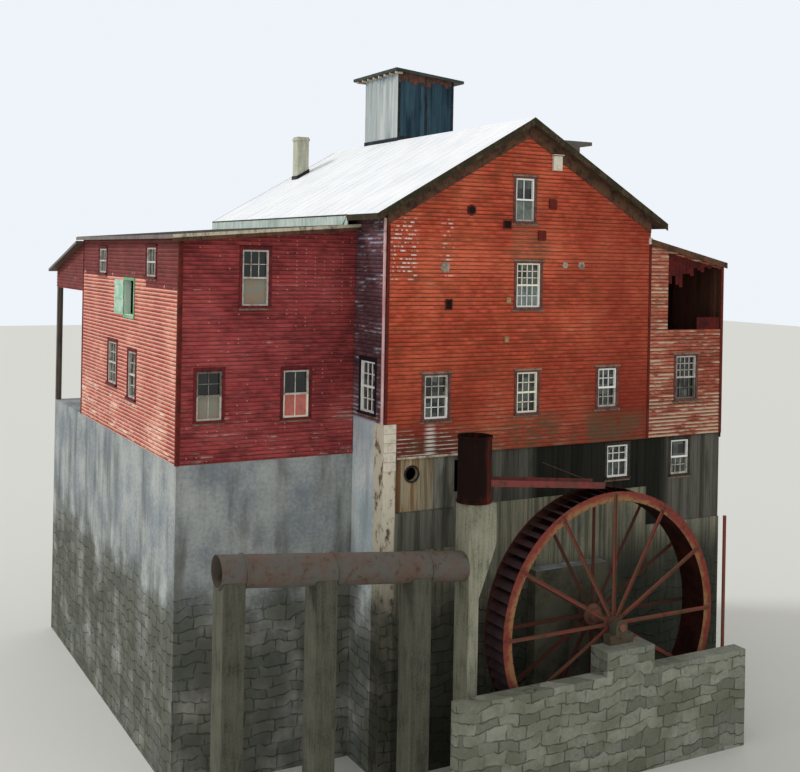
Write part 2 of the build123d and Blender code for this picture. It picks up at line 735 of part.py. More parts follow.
def downspout():
    """The pipe down the front left corner of the main block."""
    length = DOWNSPOUT_TOP - CORNER_STONE_HEIGHT
    spout = Cylinder(DOWNSPOUT_RADIUS, length, align=(Align.CENTER, Align.CENTER, Align.MIN))
    return Pos(-DOWNSPOUT_RADIUS, DOWNSPOUT_RADIUS, CORNER_STONE_HEIGHT) * spout


RIDGE_X = MAIN_WIDTH / 2
CUPOLA_FALL = math.tan(math.radians(CUPOLA_PITCH))
CUPOLA_TOP = RIDGE_UNDERSIDE + CUPOLA_HEIGHT


def cupola_outline(left, right):
    """The cupola's upright outline, open below, under its single slope."""
    foot = RIDGE_UNDERSIDE - CUPOLA_WIDTH * PITCH_RISE
    return (
        (left, foot),
        (right, foot),
        (right, CUPOLA_TOP - (right - RIDGE_X) * CUPOLA_FALL),
        (left, CUPOLA_TOP - (left - RIDGE_X) * CUPOLA_FALL),
    )


def cupola_walls():
    """The cupola's board walls, which stand on the right slope."""
    right = RIDGE_X + CUPOLA_WIDTH
    back = CUPOLA_FRONT + CUPOLA_LENGTH
    walls = upright_slab(cupola_outline(RIDGE_X, right), CUPOLA_FRONT, back)
    inner = cupola_outline(RIDGE_X + CUPOLA_WALL, right - CUPOLA_WALL)
    walls -= upright_slab(inner, CUPOLA_FRONT + CUPOLA_WALL, back - CUPOLA_WALL)
    return walls - roof_wedge()


def roof_wedge():
    """Everything under the main roof's top face."""
    top = RIDGE_UNDERSIDE + ROOF_VERTICAL
    reach = MAIN_WIDTH / 2 + EAVE_OVERHANG
    outline = (
        (MAIN_WIDTH / 2, top),
        (MAIN_WIDTH / 2 + reach, top - reach * PITCH_RISE),
        (MAIN_WIDTH / 2 + reach, 0),
        (MAIN_WIDTH / 2 - reach, 0),
        (MAIN_WIDTH / 2 - reach, top - reach * PITCH_RISE),
    )
    return upright_slab(outline, -RAKE_OVERHANG, MAIN_LENGTH + RAKE_OVERHANG)


def cupola_roof():
    """The cupola's single slope of corrugated metal."""
    left = RIDGE_X - CUPOLA_NEAR_OVERHANG
    right = RIDGE_X + CUPOLA_WIDTH + CUPOLA_RIGHT_OVERHANG
    left_foot = CUPOLA_TOP + CUPOLA_NEAR_OVERHANG * CUPOLA_FALL
    right_foot = CUPOLA_TOP - (right - RIDGE_X) * CUPOLA_FALL
    outline = (
        (left, left_foot),
        (right, right_foot),
        (right, right_foot + CUPOLA_ROOF_THICKNESS),
        (left, left_foot + CUPOLA_ROOF_THICKNESS),
    )
    back = CUPOLA_FRONT + CUPOLA_LENGTH + CUPOLA_BACK_OVERHANG
    return upright_slab(outline, CUPOLA_FRONT - CUPOLA_NEAR_OVERHANG, back)


def chimney():
    """The pale square vent near the back of the left slope."""
    half = CHIMNEY_WIDTH / 2
    top = PLATE_HEIGHT + CHIMNEY_X * PITCH_RISE + CHIMNEY_RISE
    y0 = CHIMNEY_Y - half
    y1 = CHIMNEY_Y + half
    return box(CHIMNEY_X - half, CHIMNEY_X + half, y0, y1, PLATE_HEIGHT, top) - roof_wedge()


def roof_hood():
    """The small shed-roofed hood on the right slope."""
    top = RIDGE_UNDERSIDE - HOOD_DROP
    foot = PLATE_HEIGHT
    under = top - HOOD_THICKNESS
    start = RIDGE_X + (RIDGE_UNDERSIDE + ROOF_VERTICAL - top) / PITCH_RISE
    back = HOOD_FRONT + HOOD_LENGTH
    inner_right = HOOD_WALL_X - HOOD_THICKNESS
    body = box(start, HOOD_WALL_X, HOOD_FRONT, back, foot, under)
    body -= box(start, inner_right, HOOD_FRONT + HOOD_THICKNESS, back - HOOD_THICKNESS, foot, under)
    body += box(start, HOOD_WALL_X + HOOD_EAVE, HOOD_FRONT, back, under, top)
    return body - roof_wedge()


def eave_apron():
    """The strip of sheet metal that closes the main eave down to the left wing's roof."""
    x0 = -EAVE_OVERHANG
    x1 = x0 + APRON_THICKNESS
    outline = (
        (x0, wing_roof_underside(x0) + WING_ROOF_THICKNESS),
        (x1, wing_roof_underside(x1) + WING_ROOF_THICKNESS),
        (x1, PLATE_HEIGHT + x1 * PITCH_RISE),
        (x0, PLATE_HEIGHT + x0 * PITCH_RISE),
    )
    return upright_slab(outline, WING_SETBACK - WING_OVERHANG, MAIN_LENGTH)


def rake_boards():
    """Wide boards under the roof's edge on the front gable."""
    boards = []
    for side in (-1, 1):
        x = MAIN_WIDTH / 2
        far = x + side * x
        outline = (
            (x, RIDGE_UNDERSIDE),
            (far, PLATE_HEIGHT),
            (far, PLATE_HEIGHT - RAKE_BOARD_DEPTH),
            (x, RIDGE_UNDERSIDE - RAKE_BOARD_DEPTH),
        )
        boards.append(upright_slab(outline, -RAKE_BOARD_THICKNESS, 0))
    return [boards[0] + boards[1]]


def floors():
    """The built floors of the main block and the two wings."""
    slabs = []
    stone_back = MAIN_LENGTH - STONE_WALL
    wall_back = MAIN_LENGTH - WALL

    def floor(x0, x1, y0, y1, level):
        slabs.append(box(x0 + SEAT, x1 - SEAT, y0 + SEAT, y1 - SEAT, level - FLOOR_THICKNESS, level))

    floor(STONE_WALL, MAIN_WIDTH - STONE_WALL, STONE_WALL, stone_back, LOW_FLOOR)
    floor(MAIN_WIDTH, RIGHT_WING_END - STONE_WALL, STONE_WALL, stone_back, LOW_FLOOR)
    floor(STONE_WALL, MAIN_WIDTH - STONE_WALL, WALL, stone_back, FIRST_FLOOR)
    floor(MAIN_WIDTH, RIGHT_WING_END - STONE_WALL, WALL, stone_back, FIRST_FLOOR)
    floor(WING_LEFT + STONE_WALL, 0, WING_SETBACK + STONE_WALL, stone_back, FIRST_FLOOR)
    floor(WALL, MAIN_WIDTH - WALL, WALL, wall_back, SECOND_FLOOR)
    floor(MAIN_WIDTH, RIGHT_WING_END - WALL, WALL, wall_back, SECOND_FLOOR)
    floor(WING_LEFT + WALL, 0, WING_SETBACK + WALL, wall_back, SECOND_FLOOR)
    floor(WALL, MAIN_WIDTH - WALL, WALL, wall_back, ATTIC_FLOOR)
    return slabs


def porch_roof_underside(y):
    """Height of the porch roof's underside."""
    return WING_WALL_HEIGHT - PORCH_ROOF_DROP - (y - MAIN_LENGTH) * PORCH_RISE


def porch_roof():
    """The porch roof, which falls away from the back wall."""
    y1 = MAIN_LENGTH + PORCH_DEPTH + WING_OVERHANG
    outline = (
        (MAIN_LENGTH, porch_roof_underside(MAIN_LENGTH)),
        (y1, porch_roof_underside(y1)),
        (y1, porch_roof_underside(y1) + PORCH_ROOF_THICKNESS),
        (MAIN_LENGTH, porch_roof_underside(MAIN_LENGTH) + PORCH_ROOF_THICKNESS),
    )
    return side_slab(outline, WING_LEFT - WING_OVERHANG, 0)


def porch_sides():
    """Boarded gables over the open ends of the porch."""
    y1 = MAIN_LENGTH + PORCH_DEPTH
    outline = (
        (MAIN_LENGTH, PORCH_BEAM_HEIGHT),
        (y1, PORCH_BEAM_HEIGHT),
        (y1, porch_roof_underside(y1)),
        (MAIN_LENGTH, porch_roof_underside(MAIN_LENGTH)),
    )
    left = side_slab(outline, WING_LEFT, WING_LEFT + PORCH_POST)
    right = side_slab(outline, -PORCH_POST, 0)
    return [left, right]


def porch_posts():
    """The porch's back beam on its three posts."""
    y1 = MAIN_LENGTH + PORCH_DEPTH
    y0 = y1 - PORCH_POST
    top = porch_roof_underside(y1)
    frame = box(WING_LEFT + PORCH_POST, -PORCH_POST, y0, y1, PORCH_BEAM_HEIGHT, top)
    for x in (WING_LEFT, WING_LEFT / 2 - PORCH_POST / 2, -PORCH_POST):
        frame += box(x, x + PORCH_POST, y0, y1, WING_FOOT, PORCH_BEAM_HEIGHT)
    return frame


def porch_platform():
    """The stone platform that the porch stands on."""
    y1 = MAIN_LENGTH + PORCH_DEPTH
    return box(WING_LEFT, 0, MAIN_LENGTH, y1, BASE_HEIGHT, WING_FOOT)


def hatch_shutter():
    """The pale green leaf beside the open hatch."""
    near, sill, width, height = HATCH
    y0 = near + width
    return box(WING_LEFT - SHUTTER_THICKNESS, WING_LEFT, y0, y0 + SHUTTER_WIDTH, sill, sill + height)


def window_frame(window):
    """A window's casing, frame, meeting rail and sill, in a wall whose face is at Y zero."""
    left, sill, width, height = window
    right = left + width
    top = sill + height
    outer_left = left - CASING_WIDTH
    outer_right = right + CASING_WIDTH
    casing = box(outer_left, outer_right, -CASING_PROUD, 0, sill - SILL_HEIGHT, top + CASING_WIDTH)
    casing -= box(left, right, -CASING_PROUD, 0, sill, top)
    frame = box(left, right, 0, FRAME_DEPTH, sill, top)
    for pane in pane_spans(window):
        frame -= box(left + FRAME_FACE, right - FRAME_FACE, 0, FRAME_DEPTH, *pane)
    return casing + frame + box(outer_left, outer_right, -SILL_PROUD, 0, sill - SILL_HEIGHT, sill)


def pane_spans(window):
    """The bottom and top of a window's lower and upper panes."""
    left, sill, width, height = window
    rail = FRAME_FACE / 2
    middle = sill + height / 2
    return (sill + FRAME_FACE, middle - rail), (middle + rail, sill + height - FRAME_FACE)


def window_glass(window):
    """The two sheets of glass in a window whose wall's face is at Y zero."""
    left, sill, width, height = window
    x0 = left + FRAME_FACE
    x1 = left + width - FRAME_FACE
    return [box(x0, x1, GLASS_SETBACK, GLASS_SETBACK + GLASS_THICKNESS, *pane) for pane in pane_spans(window)]


def facing_front(y):
    """What moves a window to a front wall whose face is at y."""
    return lambda shape: Pos(0, y, 0) * shape


def facing_back(shape):
    """A window turned into the back wall."""
    return Pos(0, MAIN_LENGTH, 0) * shape.mirror(Plane.XZ)


def facing_left(x):
    """What turns a window to a left wall whose face is at x, its own X running back along the wall."""
    return lambda shape: Pos(x, 0, 0) * (Rot(0, 0, -90) * shape.mirror(Plane.YZ))


def facing_right(shape):
    """A window turned into the right wing's end wall."""
    return Pos(RIGHT_WING_END, 0, 0) * facing_left(0)(shape).mirror(Plane.YZ)


WINDOW_ROWS = (
    (FRONT_WINDOWS + (RIGHT_WINDOW,), facing_front(0)),
    ((FRONT_LOW_WINDOW, RIGHT_LOW_WINDOW), facing_front(LOWER_BOARD_SETBACK)),
    (FRONT_WINDOWS + WING_WINDOWS[1:], facing_back),
    (WING_WINDOWS, facing_front(WING_SETBACK)),
    (WING_END_WINDOWS, facing_left(WING_LEFT)),
    (WING_END_WINDOWS[:2], facing_right),
    ((SIDE_WINDOW,), facing_left(0)),
)


def window_frames():
    """The frames of all the windows."""
    return [place(window_frame(window)) for windows, place in WINDOW_ROWS for window in windows]


def window_panes():
    """The glass of all the windows."""
    panes = [(place, pane) for windows, place in WINDOW_ROWS for w in windows for pane in window_glass(w)]
    return [place(pane) for place, pane in panes]


def roof_left():
    """The main roof's left slope."""
    return main_roof(-1)


def roof_right():
    """The main roof's right slope."""
    return main_roof(1)


NODES = {
    "front_wall": front_wall,
    "back_wall": back_wall,
    "left_wall": left_wall,
    "right_wall": right_wall,
    "wing_front_wall": wing_front_wall,
    "wing_end_wall": wing_end_wall,
    "right_wing_front_wall": right_wing_front_wall,
    "right_wing_end_wall": right_wing_end_wall,
    "lower_boards": lower_boards,
    "roof_left": roof_left,
    "roof_right": roof_right,
    "wing_roof": wing_roof,
    "right_wing_roof": right_wing_roof,
    "rake_boards": rake_boards,
    "eave_apron": eave_apron,
    "cupola_walls": cupola_walls,
    "cupola_roof": cupola_roof,
    "chimney": chimney,
    "roof_hood": roof_hood,
    "floors": floors,
    "window_frames": window_frames,
    "window_glass": window_panes,
    "hatch_shutter": hatch_shutter,
    "downspout": downspout,
    "porch_roof": porch_roof,
    "porch_sides": porch_sides,
    "porch_posts": porch_posts,
    "porch_platform": porch_platform,
    "front_foundation": front_foundation,
    "side_foundations": side_foundations,
    "back_foundation": back_foundation,
    "wing_front_foundation": wing_front_foundation,
    "wing_end_foundation": wing_end_foundation,
    "right_wing_end_foundation": right_wing_end_foundation,
    "pit_wall": pit_wall,
    "wall_corbel": wall_corbel,
    "pit_ledge": pit_ledge,
    "axle_bearings": axle_bearings,
    "steel_post": steel_post,
    "standpipe": standpipe,
    "pedestal": pedestal,
    "penstock": penstock,
    "penstock_piers": penstock_piers,
    "flume": flume,
    "flume_stays": flume_stays,
    "wheel_shrouds": wheel_shrouds,
    "wheel_sole": wheel_sole,
    "wheel_buckets": wheel_buckets,
    "wheel_spokes": wheel_spokes,
    "wheel_hubs": wheel_hubs,
    "wheel_axle": wheel_axle,
}


def all_solids(made):
    """The separate solids of what a node's function made."""
    shapes = made if isinstance(made, list) else [made]
    return [solid for shape in shapes for solid in shape.solids()]


os.makedirs("parts", exist_ok=True)
for name, make in NODES.items():
    solids = all_solids(make())
    shape = solids[0] if len(solids) == 1 else Compound(children=solids)
    shape = Pos(-ORIGIN_X, -ORIGIN_Y, -BASE_HEIGHT) * shape
    shape.label = name
    export_step(shape, f"parts/{name}.step")
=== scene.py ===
import json
import math
import random

import bpy
from mathutils import Matrix, Vector

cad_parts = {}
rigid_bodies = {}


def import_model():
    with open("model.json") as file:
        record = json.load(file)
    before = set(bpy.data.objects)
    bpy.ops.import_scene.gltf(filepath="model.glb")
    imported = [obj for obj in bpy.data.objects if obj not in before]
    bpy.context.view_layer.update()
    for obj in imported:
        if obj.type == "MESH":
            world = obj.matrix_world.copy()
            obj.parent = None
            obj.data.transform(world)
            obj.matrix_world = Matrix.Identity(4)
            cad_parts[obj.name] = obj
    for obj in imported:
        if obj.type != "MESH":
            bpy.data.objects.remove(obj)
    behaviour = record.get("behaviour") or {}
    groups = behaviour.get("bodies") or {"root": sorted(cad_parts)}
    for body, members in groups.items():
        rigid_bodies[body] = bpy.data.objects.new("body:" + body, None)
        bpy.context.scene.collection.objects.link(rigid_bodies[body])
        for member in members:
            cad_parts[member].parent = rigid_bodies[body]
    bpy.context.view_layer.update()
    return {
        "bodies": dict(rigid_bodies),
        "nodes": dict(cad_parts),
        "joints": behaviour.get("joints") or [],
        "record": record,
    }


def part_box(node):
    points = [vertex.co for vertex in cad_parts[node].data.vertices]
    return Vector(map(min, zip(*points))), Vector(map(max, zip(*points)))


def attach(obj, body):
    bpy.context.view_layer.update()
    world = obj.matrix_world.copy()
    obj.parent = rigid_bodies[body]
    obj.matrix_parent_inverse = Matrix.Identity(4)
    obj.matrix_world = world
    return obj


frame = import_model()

NODES = frame["nodes"]

# Every place below is in metres from the front left corner of the main block, at the foot of its siding
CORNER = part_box("front_wall")[0]

# Camera
CAMERA_PLACE = Vector((-15.453, -29.039, 5.879))
CAMERA_TURN = math.radians(28.68)
CAMERA_ROLL = math.radians(1.05)
CAMERA_LENS = 51.01
CAMERA_SENSOR = 36
CAMERA_SHIFT = -0.1616
CAMERA_REACH = 400

# Light
SKY_STRENGTH = 0.75
SUN_STRENGTH = 1.35
SUN_SPREAD = math.radians(12)
SUN_DIRECTION = Vector((0.72, -0.42, -0.62))

# The building
MAIN_WIDTH = 9.9
MAIN_LENGTH = 13.5
PLATE_HEIGHT = 7.23
RIDGE_X = MAIN_WIDTH / 2
ROOF_PITCH = math.radians(30)
PITCH_RISE = math.tan(ROOF_PITCH)
CORNER_STONE_WIDTH = 0.42
CORNER_STONE_HEIGHT = 0.99
WING_LEFT = -5.55
WING_SETBACK = 2.0
WING_WALL_HEIGHT = 6.3
WING_PITCH = math.radians(4.5)
WING_FOOT = -0.15
RIGHT_END = 13.17
RIGHT_WALL_HEIGHT = 5.78
RIGHT_PITCH = math.radians(12.4)
RAKE_BOARD_DEPTH = 0.42
LOWER_SETBACK = 0.06
PORCH_BACK = 18.0
PORCH_BEAM_HEIGHT = 4.4
PORCH_TOP = 6.15
PORCH_PITCH = math.atan(1.05 / 4.5)

# Openings: left edge, sill height, width, height
HATCH = (6.60, 3.83, 1.15, 1.13)
SHUTTER = (7.75, 3.83, 1.15, 1.13)
PORCH_DOOR = (-4.90, 0.0, 1.40, 2.30)
SHAFT_OPENING = (2.45, -1.18, 1.15, 1.18)
RED_BOXES = ((5.73, 7.47, 0.28, 0.31), (5.33, 6.46, 0.28, 0.33))
TAN_BOXES = ((4.18, 4.50), (4.13, 3.30))
ANCHOR_PLATES = ((1.97, 5.60, 0.16), (6.40, 5.71, 0.11), (7.04, 5.70, 0.13))
LAMP = (5.83, 8.68, 0.34, 0.48)
VENTS = ((4.01, 6.80, 0.31, 0.26), (1.99, 4.31, 0.25, 0.33))
ROUND_VENT = (2.86, 7.33, 0.17)
PIPE_HOLE = (0.98, -0.52, 0.2)
LOFT = (10.70, 3.58, 2.40)
LOFT_HEADER = 0.15
FRAME_FACE = 0.045
GLASS_SETBACK = 0.08
CASING_WIDTH = 0.09
CASING_PROUD = 0.035
SILL_HEIGHT = 0.07

SASH_PROUD = 0.004
SASH_LAP = 0.005
BAR_WIDTH = 0.022
BAR_DEPTH = 0.03
PANEL_DEPTH = 0.008
HEAD_REACH = 0.06
HEAD_DEPTH = 0.07
HEAD_OUT = 0.055
APRON_DEPTH = 0.06

# Roofs
ROOF_THICKNESS = 0.14
LOW_ROOF_DEPTH = 0.11
EAVE_OVERHANG = 0.47
RAKE_OVERHANG = 0.3
ROOF_BACK = MAIN_LENGTH + RAKE_OVERHANG
WING_ROOF_FRONT = 1.7
RIGHT_ROOF_FRONT = -0.1
RIGHT_ROOF_END = 13.27
SEAM_SPACING = 0.61
SEAM_WIDTH = 0.03
SEAM_HEIGHT = 0.012
LOW_SEAM_HEIGHT = 0.005
VERGE_THICKNESS = 0.022
VERGE_DROP = 0.05
CUPOLA = (4.95, 7.35, 8.62, 11.34)
CUPOLA_TOP = 12.868
CUPOLA_PITCH = math.radians(5.2)
CUPOLA_ROOF_LEFT = 4.75
TAIL_COUNT = 8
TAIL_RADIUS = 0.045
CHIMNEY = (2.86, 12.90, 0.48)
CHIMNEY_TOP = 10.601

# Roof edges
RIDGE_HEIGHT = PLATE_HEIGHT + RIDGE_X * PITCH_RISE
RIGHT_ROOF_START = RIGHT_WALL_HEIGHT + (RIGHT_END - MAIN_WIDTH) * math.tan(RIGHT_PITCH)
WING_ROOF_START = WING_WALL_HEIGHT - WING_LEFT * math.tan(WING_PITCH)
WING_OVERHANG = 0.3
ROOF_CLEARANCE = 0.13
EAVE_CLEARANCE = 0.02
DOWNSPOUT_WIDTH = 0.095

# Masonry
STONE_COURSE = 0.34
STONE_LENGTH = 0.72
QUOIN_HEIGHT = 0.275
QUOIN_OUT = 0.03
QUOIN_FOOT = -0.3

# The wheel
WHEEL_X = 6.95
WHEEL_Z = -5.15
WHEEL_RADIUS = 4.0
WHEEL_FRONT = -2.0
WHEEL_BACK = -1.0
SHROUD_DEPTH = 0.3
ARM_COUNT = 12
ARM_WIDTH = 0.11
HUB_RADIUS = 0.33
BOLT_RADIUS = 0.016
BOLT_HEIGHT = 0.018
WHEEL_MIDDLE = (WHEEL_FRONT + WHEEL_BACK) / 2

# Boards
CORNER_BOARD_WIDTH = 0.09
PLANK_OUT = 0.03
EXPOSURE = 0.12
# Where the dark band under the wing end's eave starts, where it steps and by how much: partly unfaded paint, partly
# painted shadow of the eave
SHADOW_BAND_FOOT = 5.0
SHADOW_BAND_TURN = 5.3
SHADOW_BAND_STEP = 0.25
BOARD_OUT = 0.024
BOARD_TOP_OUT = 0.004
BOARD_GAP = 0.002
BOARD_LENGTH = 3.6
PLANK_WIDTH = 0.19
PLANK_GAP = 0.008


def spot(x, y, z):
    """A point in the frame, from its place on the building."""
    return CORNER + Vector((x, y, z))


def screen(red, green, blue):
    """A colour as it looks on a screen, from 0 to 255."""
    parts = [part / 255 for part in (red, green, blue)]
    return tuple(part / 12.92 if part < 0.04 else ((part + 0.055) / 1.055) ** 2.4 for part in parts) + (1.0,)


# Colours and places that only the boards' paints use: left, right, low, high, and how many flecks
# The dark at each board's lap is painted shade, with some dirt
LAP_SHADE_AND_DIRT = screen(64, 36, 20)
BROWN_FILM = screen(112, 76, 46)
NAIL_SPOT = screen(214, 150, 140)
NAIL_SPACING = 0.3
MAROON = screen(104, 34, 32)
DAMP_WOOD = screen(92, 80, 58)
PEELED = screen(232, 226, 216)
DAMP_PATCHES = ((4.3, 6.4, 0.2, 0.95), (7.4, 8.9, 0.1, 1.0), (8.3, 9.9, 0.0, 0.9), (4.4, 5.8, 5.85, 6.9))
FLECK_PATCHES = (
    (0.15, 1.0, 5.2, 7.0, 0.9),
    (1.85, 2.25, 5.3, 7.0, 0.7),
)


class Value:
    """A shader value that works like a number in an expression."""

    def __init__(self, paint, socket):
        self.paint = paint
        self.socket = socket

    def __add__(self, other):
        return self.paint.maths("ADD", self, other)

    def __radd__(self, other):
        return self.paint.maths("ADD", other, self)

    def __sub__(self, other):
        return self.paint.maths("SUBTRACT", self, other)

    def __rsub__(self, other):
        return self.paint.maths("SUBTRACT", other, self)

    def __mul__(self, other):
        return self.paint.maths("MULTIPLY", self, other)

    def __rmul__(self, other):
        return self.paint.maths("MULTIPLY", other, self)

    def __truediv__(self, other):
        return self.paint.maths("DIVIDE", self, other)

    def __gt__(self, other):
        return self.paint.maths("GREATER_THAN", self, other)

    def __lt__(self, other):
        return self.paint.maths("LESS_THAN", self, other)

    def floor(self):
        return self.paint.maths("FLOOR", self)

    def fraction(self):
        return self.paint.maths("FRACT", self)

    def size(self):
        return self.paint.maths("ABSOLUTE", self)

    def least(self, other):
        return self.paint.maths("MINIMUM", self, other)

    def rise(self, low, high):
        """0 below low, 1 above high and smooth between them."""
        settings = {"interpolation_type": "SMOOTHSTEP"}
        made = self.paint.node("MapRange", settings, {"Value": self, "From Min": low, "From Max": high})
        return Value(self.paint, made.outputs["Result"])


class Paint:
    """A material whose colour, roughness and bump are worked out from the place on the piece."""

    def __init__(self, name, roughness=0.8, metallic=0.0, sheen=0.12):
        self.material = bpy.data.materials.new(name)
        self.material.use_nodes = True
        self.tree = self.material.node_tree
        self.shader = self.tree.nodes["Principled BSDF"]
        self.shader.inputs["Roughness"].default_value = roughness
        self.shader.inputs["Metallic"].default_value = metallic
        self.shader.inputs["Specular IOR Level"].default_value = sheen
        self.here = self.node("VectorMath", {"operation": "SUBTRACT"}, {1: CORNER})
        place = self.node("TexCoord").outputs
        self.tree.links.new(place["Object"], self.here.inputs[0])
        parts = self.node("SeparateXYZ", {}, {0: self.here.outputs[0]})
        self.x, self.y, self.z = [Value(self, socket) for socket in parts.outputs]
        self.up = Value(self, self.node("SeparateXYZ", {}, {0: place["Normal"]}).outputs[2])
        self.along = self.x + self.y

    def node(self, kind, settings=None, inputs=None):
        """A node of any type, set first and then fed with values or links."""
        made = self.tree.nodes.new("ShaderNode" + kind)
        for name, value in (settings or {}).items():
            setattr(made, name, value)
        for name, value in (inputs or {}).items():
            self.feed(made.inputs[name], value)
        return made

    def feed(self, socket, value):
        """Links a value to a socket, or writes a constant on it."""
        source = value.socket if isinstance(value, Value) else value
        if isinstance(source, bpy.types.NodeSocket):
            self.tree.links.new(source, socket)
        else:
            socket.default_value = source

    def maths(self, operation, *terms):
        made = self.node("Math", {"operation": operation}, dict(enumerate(terms)))
        return Value(self, made.outputs[0])

    def noise(self, scale, detail=4, stretch=(1, 1, 1), roughness=0.55):
        """Cloudy noise between 0 and 1, its grain stretched along the three axes."""
        spread = self.node("VectorMath", {"operation": "MULTIPLY"}, {0: self.here.outputs[0], 1: stretch})
        inputs = {"Vector": spread.outputs[0], "Scale": scale, "Detail": detail, "Roughness": roughness}
        return Value(self, self.node("TexNoise", {}, inputs).outputs[0])

    def chance(self, first, second=0.0, third=0.0):
        """A fixed random number for each whole number given."""
        joined = self.node("CombineXYZ", {}, {0: first, 1: second, 2: third})
        return Value(self, self.node("TexWhiteNoise", {}, {"Vector": joined.outputs[0]}).outputs[0])

    def strip_noise(self, course, scale, detail=4):
        """Noise along the boards, different in each course."""
        joined = self.node("CombineXYZ", {}, {0: self.along * scale, 1: course * 7.31, 2: self.y * 0.05})
        inputs = {"Vector": joined.outputs[0], "Scale": 1.0, "Detail": detail, "Roughness": 0.6}
        return Value(self, self.node("TexNoise", {}, inputs).outputs[0])

    def between(self, value, low, high):
        """1 where a value lies between two limits."""
        return (value > low) * (value < high)

    def patch(self, left, right, low, high, soft=0.12):
        """1 inside an upright rectangle of a front, fading out at its edges."""
        across = self.x.rise(left - soft, left + soft) - self.x.rise(right - soft, right + soft)
        return across * (self.z.rise(low - soft, low + soft) - self.z.rise(high - soft, high + soft))

    def masonry(self):
        """Rough courses of stone: 1 in the joints, and each stone's own tone."""
        wander = self.noise(0.9, 3)
        rough = self.noise(4.0, 3)
        level = self.z / STONE_COURSE + wander * 2.2 + rough * 0.3
        course = level.floor()
        place = self.along / STONE_LENGTH + self.chance(course) * 7 + wander * 0.5 + rough * 0.16
        stone = place.floor()
        up = (0.5 - (level.fraction() - 0.5).size()) * STONE_COURSE
        side = (0.5 - (place.fraction() - 0.5).size()) * STONE_LENGTH
        joint = 1 - up.least(side).rise(0.0, 0.03)
        return joint * rough.rise(0.34, 0.58), self.chance(course, stone)

    def mix(self, factor, first, second):
        """A colour between two colours."""
        made = self.node("Mix", {"data_type": "RGBA"}, {0: factor, 6: first, 7: second})
        return Value(self, made.outputs[2])

    def colour(self, value):
        self.feed(self.shader.inputs["Base Color"], value)

    def roughness(self, value):
        self.feed(self.shader.inputs["Roughness"], value)

    def bump(self, height, distance, strength=1.0):
        inputs = {"Height": height, "Distance": distance, "Strength": strength}
        self.feed(self.shader.inputs["Normal"], self.node("Bump", {}, inputs).outputs[0])


def siding_paint(name, fresh, deep, warm, bare, wear, lap_shade_amount=1.0, painted_highlight=0.22, dots=0.0):
    """Old paint on lapped boards, faded in clouds and worn to the wood in long flecks, with a painted highlight on
    each board's face and painted shade at each lap.
    """
    paint = Paint(name)
    colour, worn, grain = lapped_colour(paint, fresh, deep, warm, bare, wear, lap_shade_amount, painted_highlight)
    if dots:
        spread = paint.along / NAIL_SPACING
        course = (paint.z / EXPOSURE).floor()
        rise = (paint.z / EXPOSURE).fraction()
        many = paint.patch(-2.2, -0.3, 4.3, 6.2, 0.5) * 0.4
        nail = (paint.chance(spread.floor(), course, 2.0) + many > 0.88) * (spread.fraction() < 0.12)
        colour = paint.mix(nail * paint.between(rise, 0.25, 0.55) * dots, colour, NAIL_SPOT)
    paint.colour(colour)
    paint.roughness(0.7 + worn * 0.2)
    paint.bump(grain * 0.7 - worn * 0.3, 0.006)
    return paint.material


def lapped_colour(paint, fresh, deep, warm, bare, wear, lap_shade_amount=1.0, painted_highlight=0.22):
    """The colour, the wear and the grain of painted lapped boards, with a painted highlight on each board and painted
    shade at each lap.
    """
    course = (paint.z / EXPOSURE).floor()
    rise = (paint.z / EXPOSURE).fraction()
    cloud = paint.noise(0.45, 5)
    patch = paint.noise(1.7, 5, (1, 1, 2.5))
    strip = paint.strip_noise(course, 2.6, 6)
    run = paint.strip_noise(course, 0.9, 5)
    grain = paint.noise(2.2, 6, (1, 1, 14))
    flecks = paint.noise(3.2, 6, (1, 1, 11), 0.72)
    colour = paint.mix((cloud * 0.5 + patch * 0.4 + strip * 0.6).rise(0.6, 0.92), deep, fresh)
    colour = paint.mix((flecks * 0.6 + cloud * 0.5).rise(0.52, 0.7) * 0.5, colour, warm)
    low = 1 - paint.z.rise(0.1, 2.4)
    worn = (flecks * 0.4 + run * 0.75 + cloud * 0.3 + low * 0.09 + wear).rise(0.82, 0.94)
    worn = worn * (1 - rise.rise(0.42, 0.75))
    colour = paint.mix(worn * 0.85, colour, bare)
    line = (strip * 1.5 + paint.chance(course, 5.0) * 0.5 - 0.4).rise(0.0, 0.9)
    # Painted highlight: the upper part of each board's face made paler and warmer
    colour = paint.mix(rise.rise(0.45, 0.8) * painted_highlight, colour, warm)
    # Painted shade, with some dirt, along the foot of each board where it laps the one below
    colour = paint.mix((1 - rise.rise(0.04, 0.34)) * (0.25 + line * 0.8) * lap_shade_amount, colour, LAP_SHADE_AND_DIRT)
    return colour, worn, grain


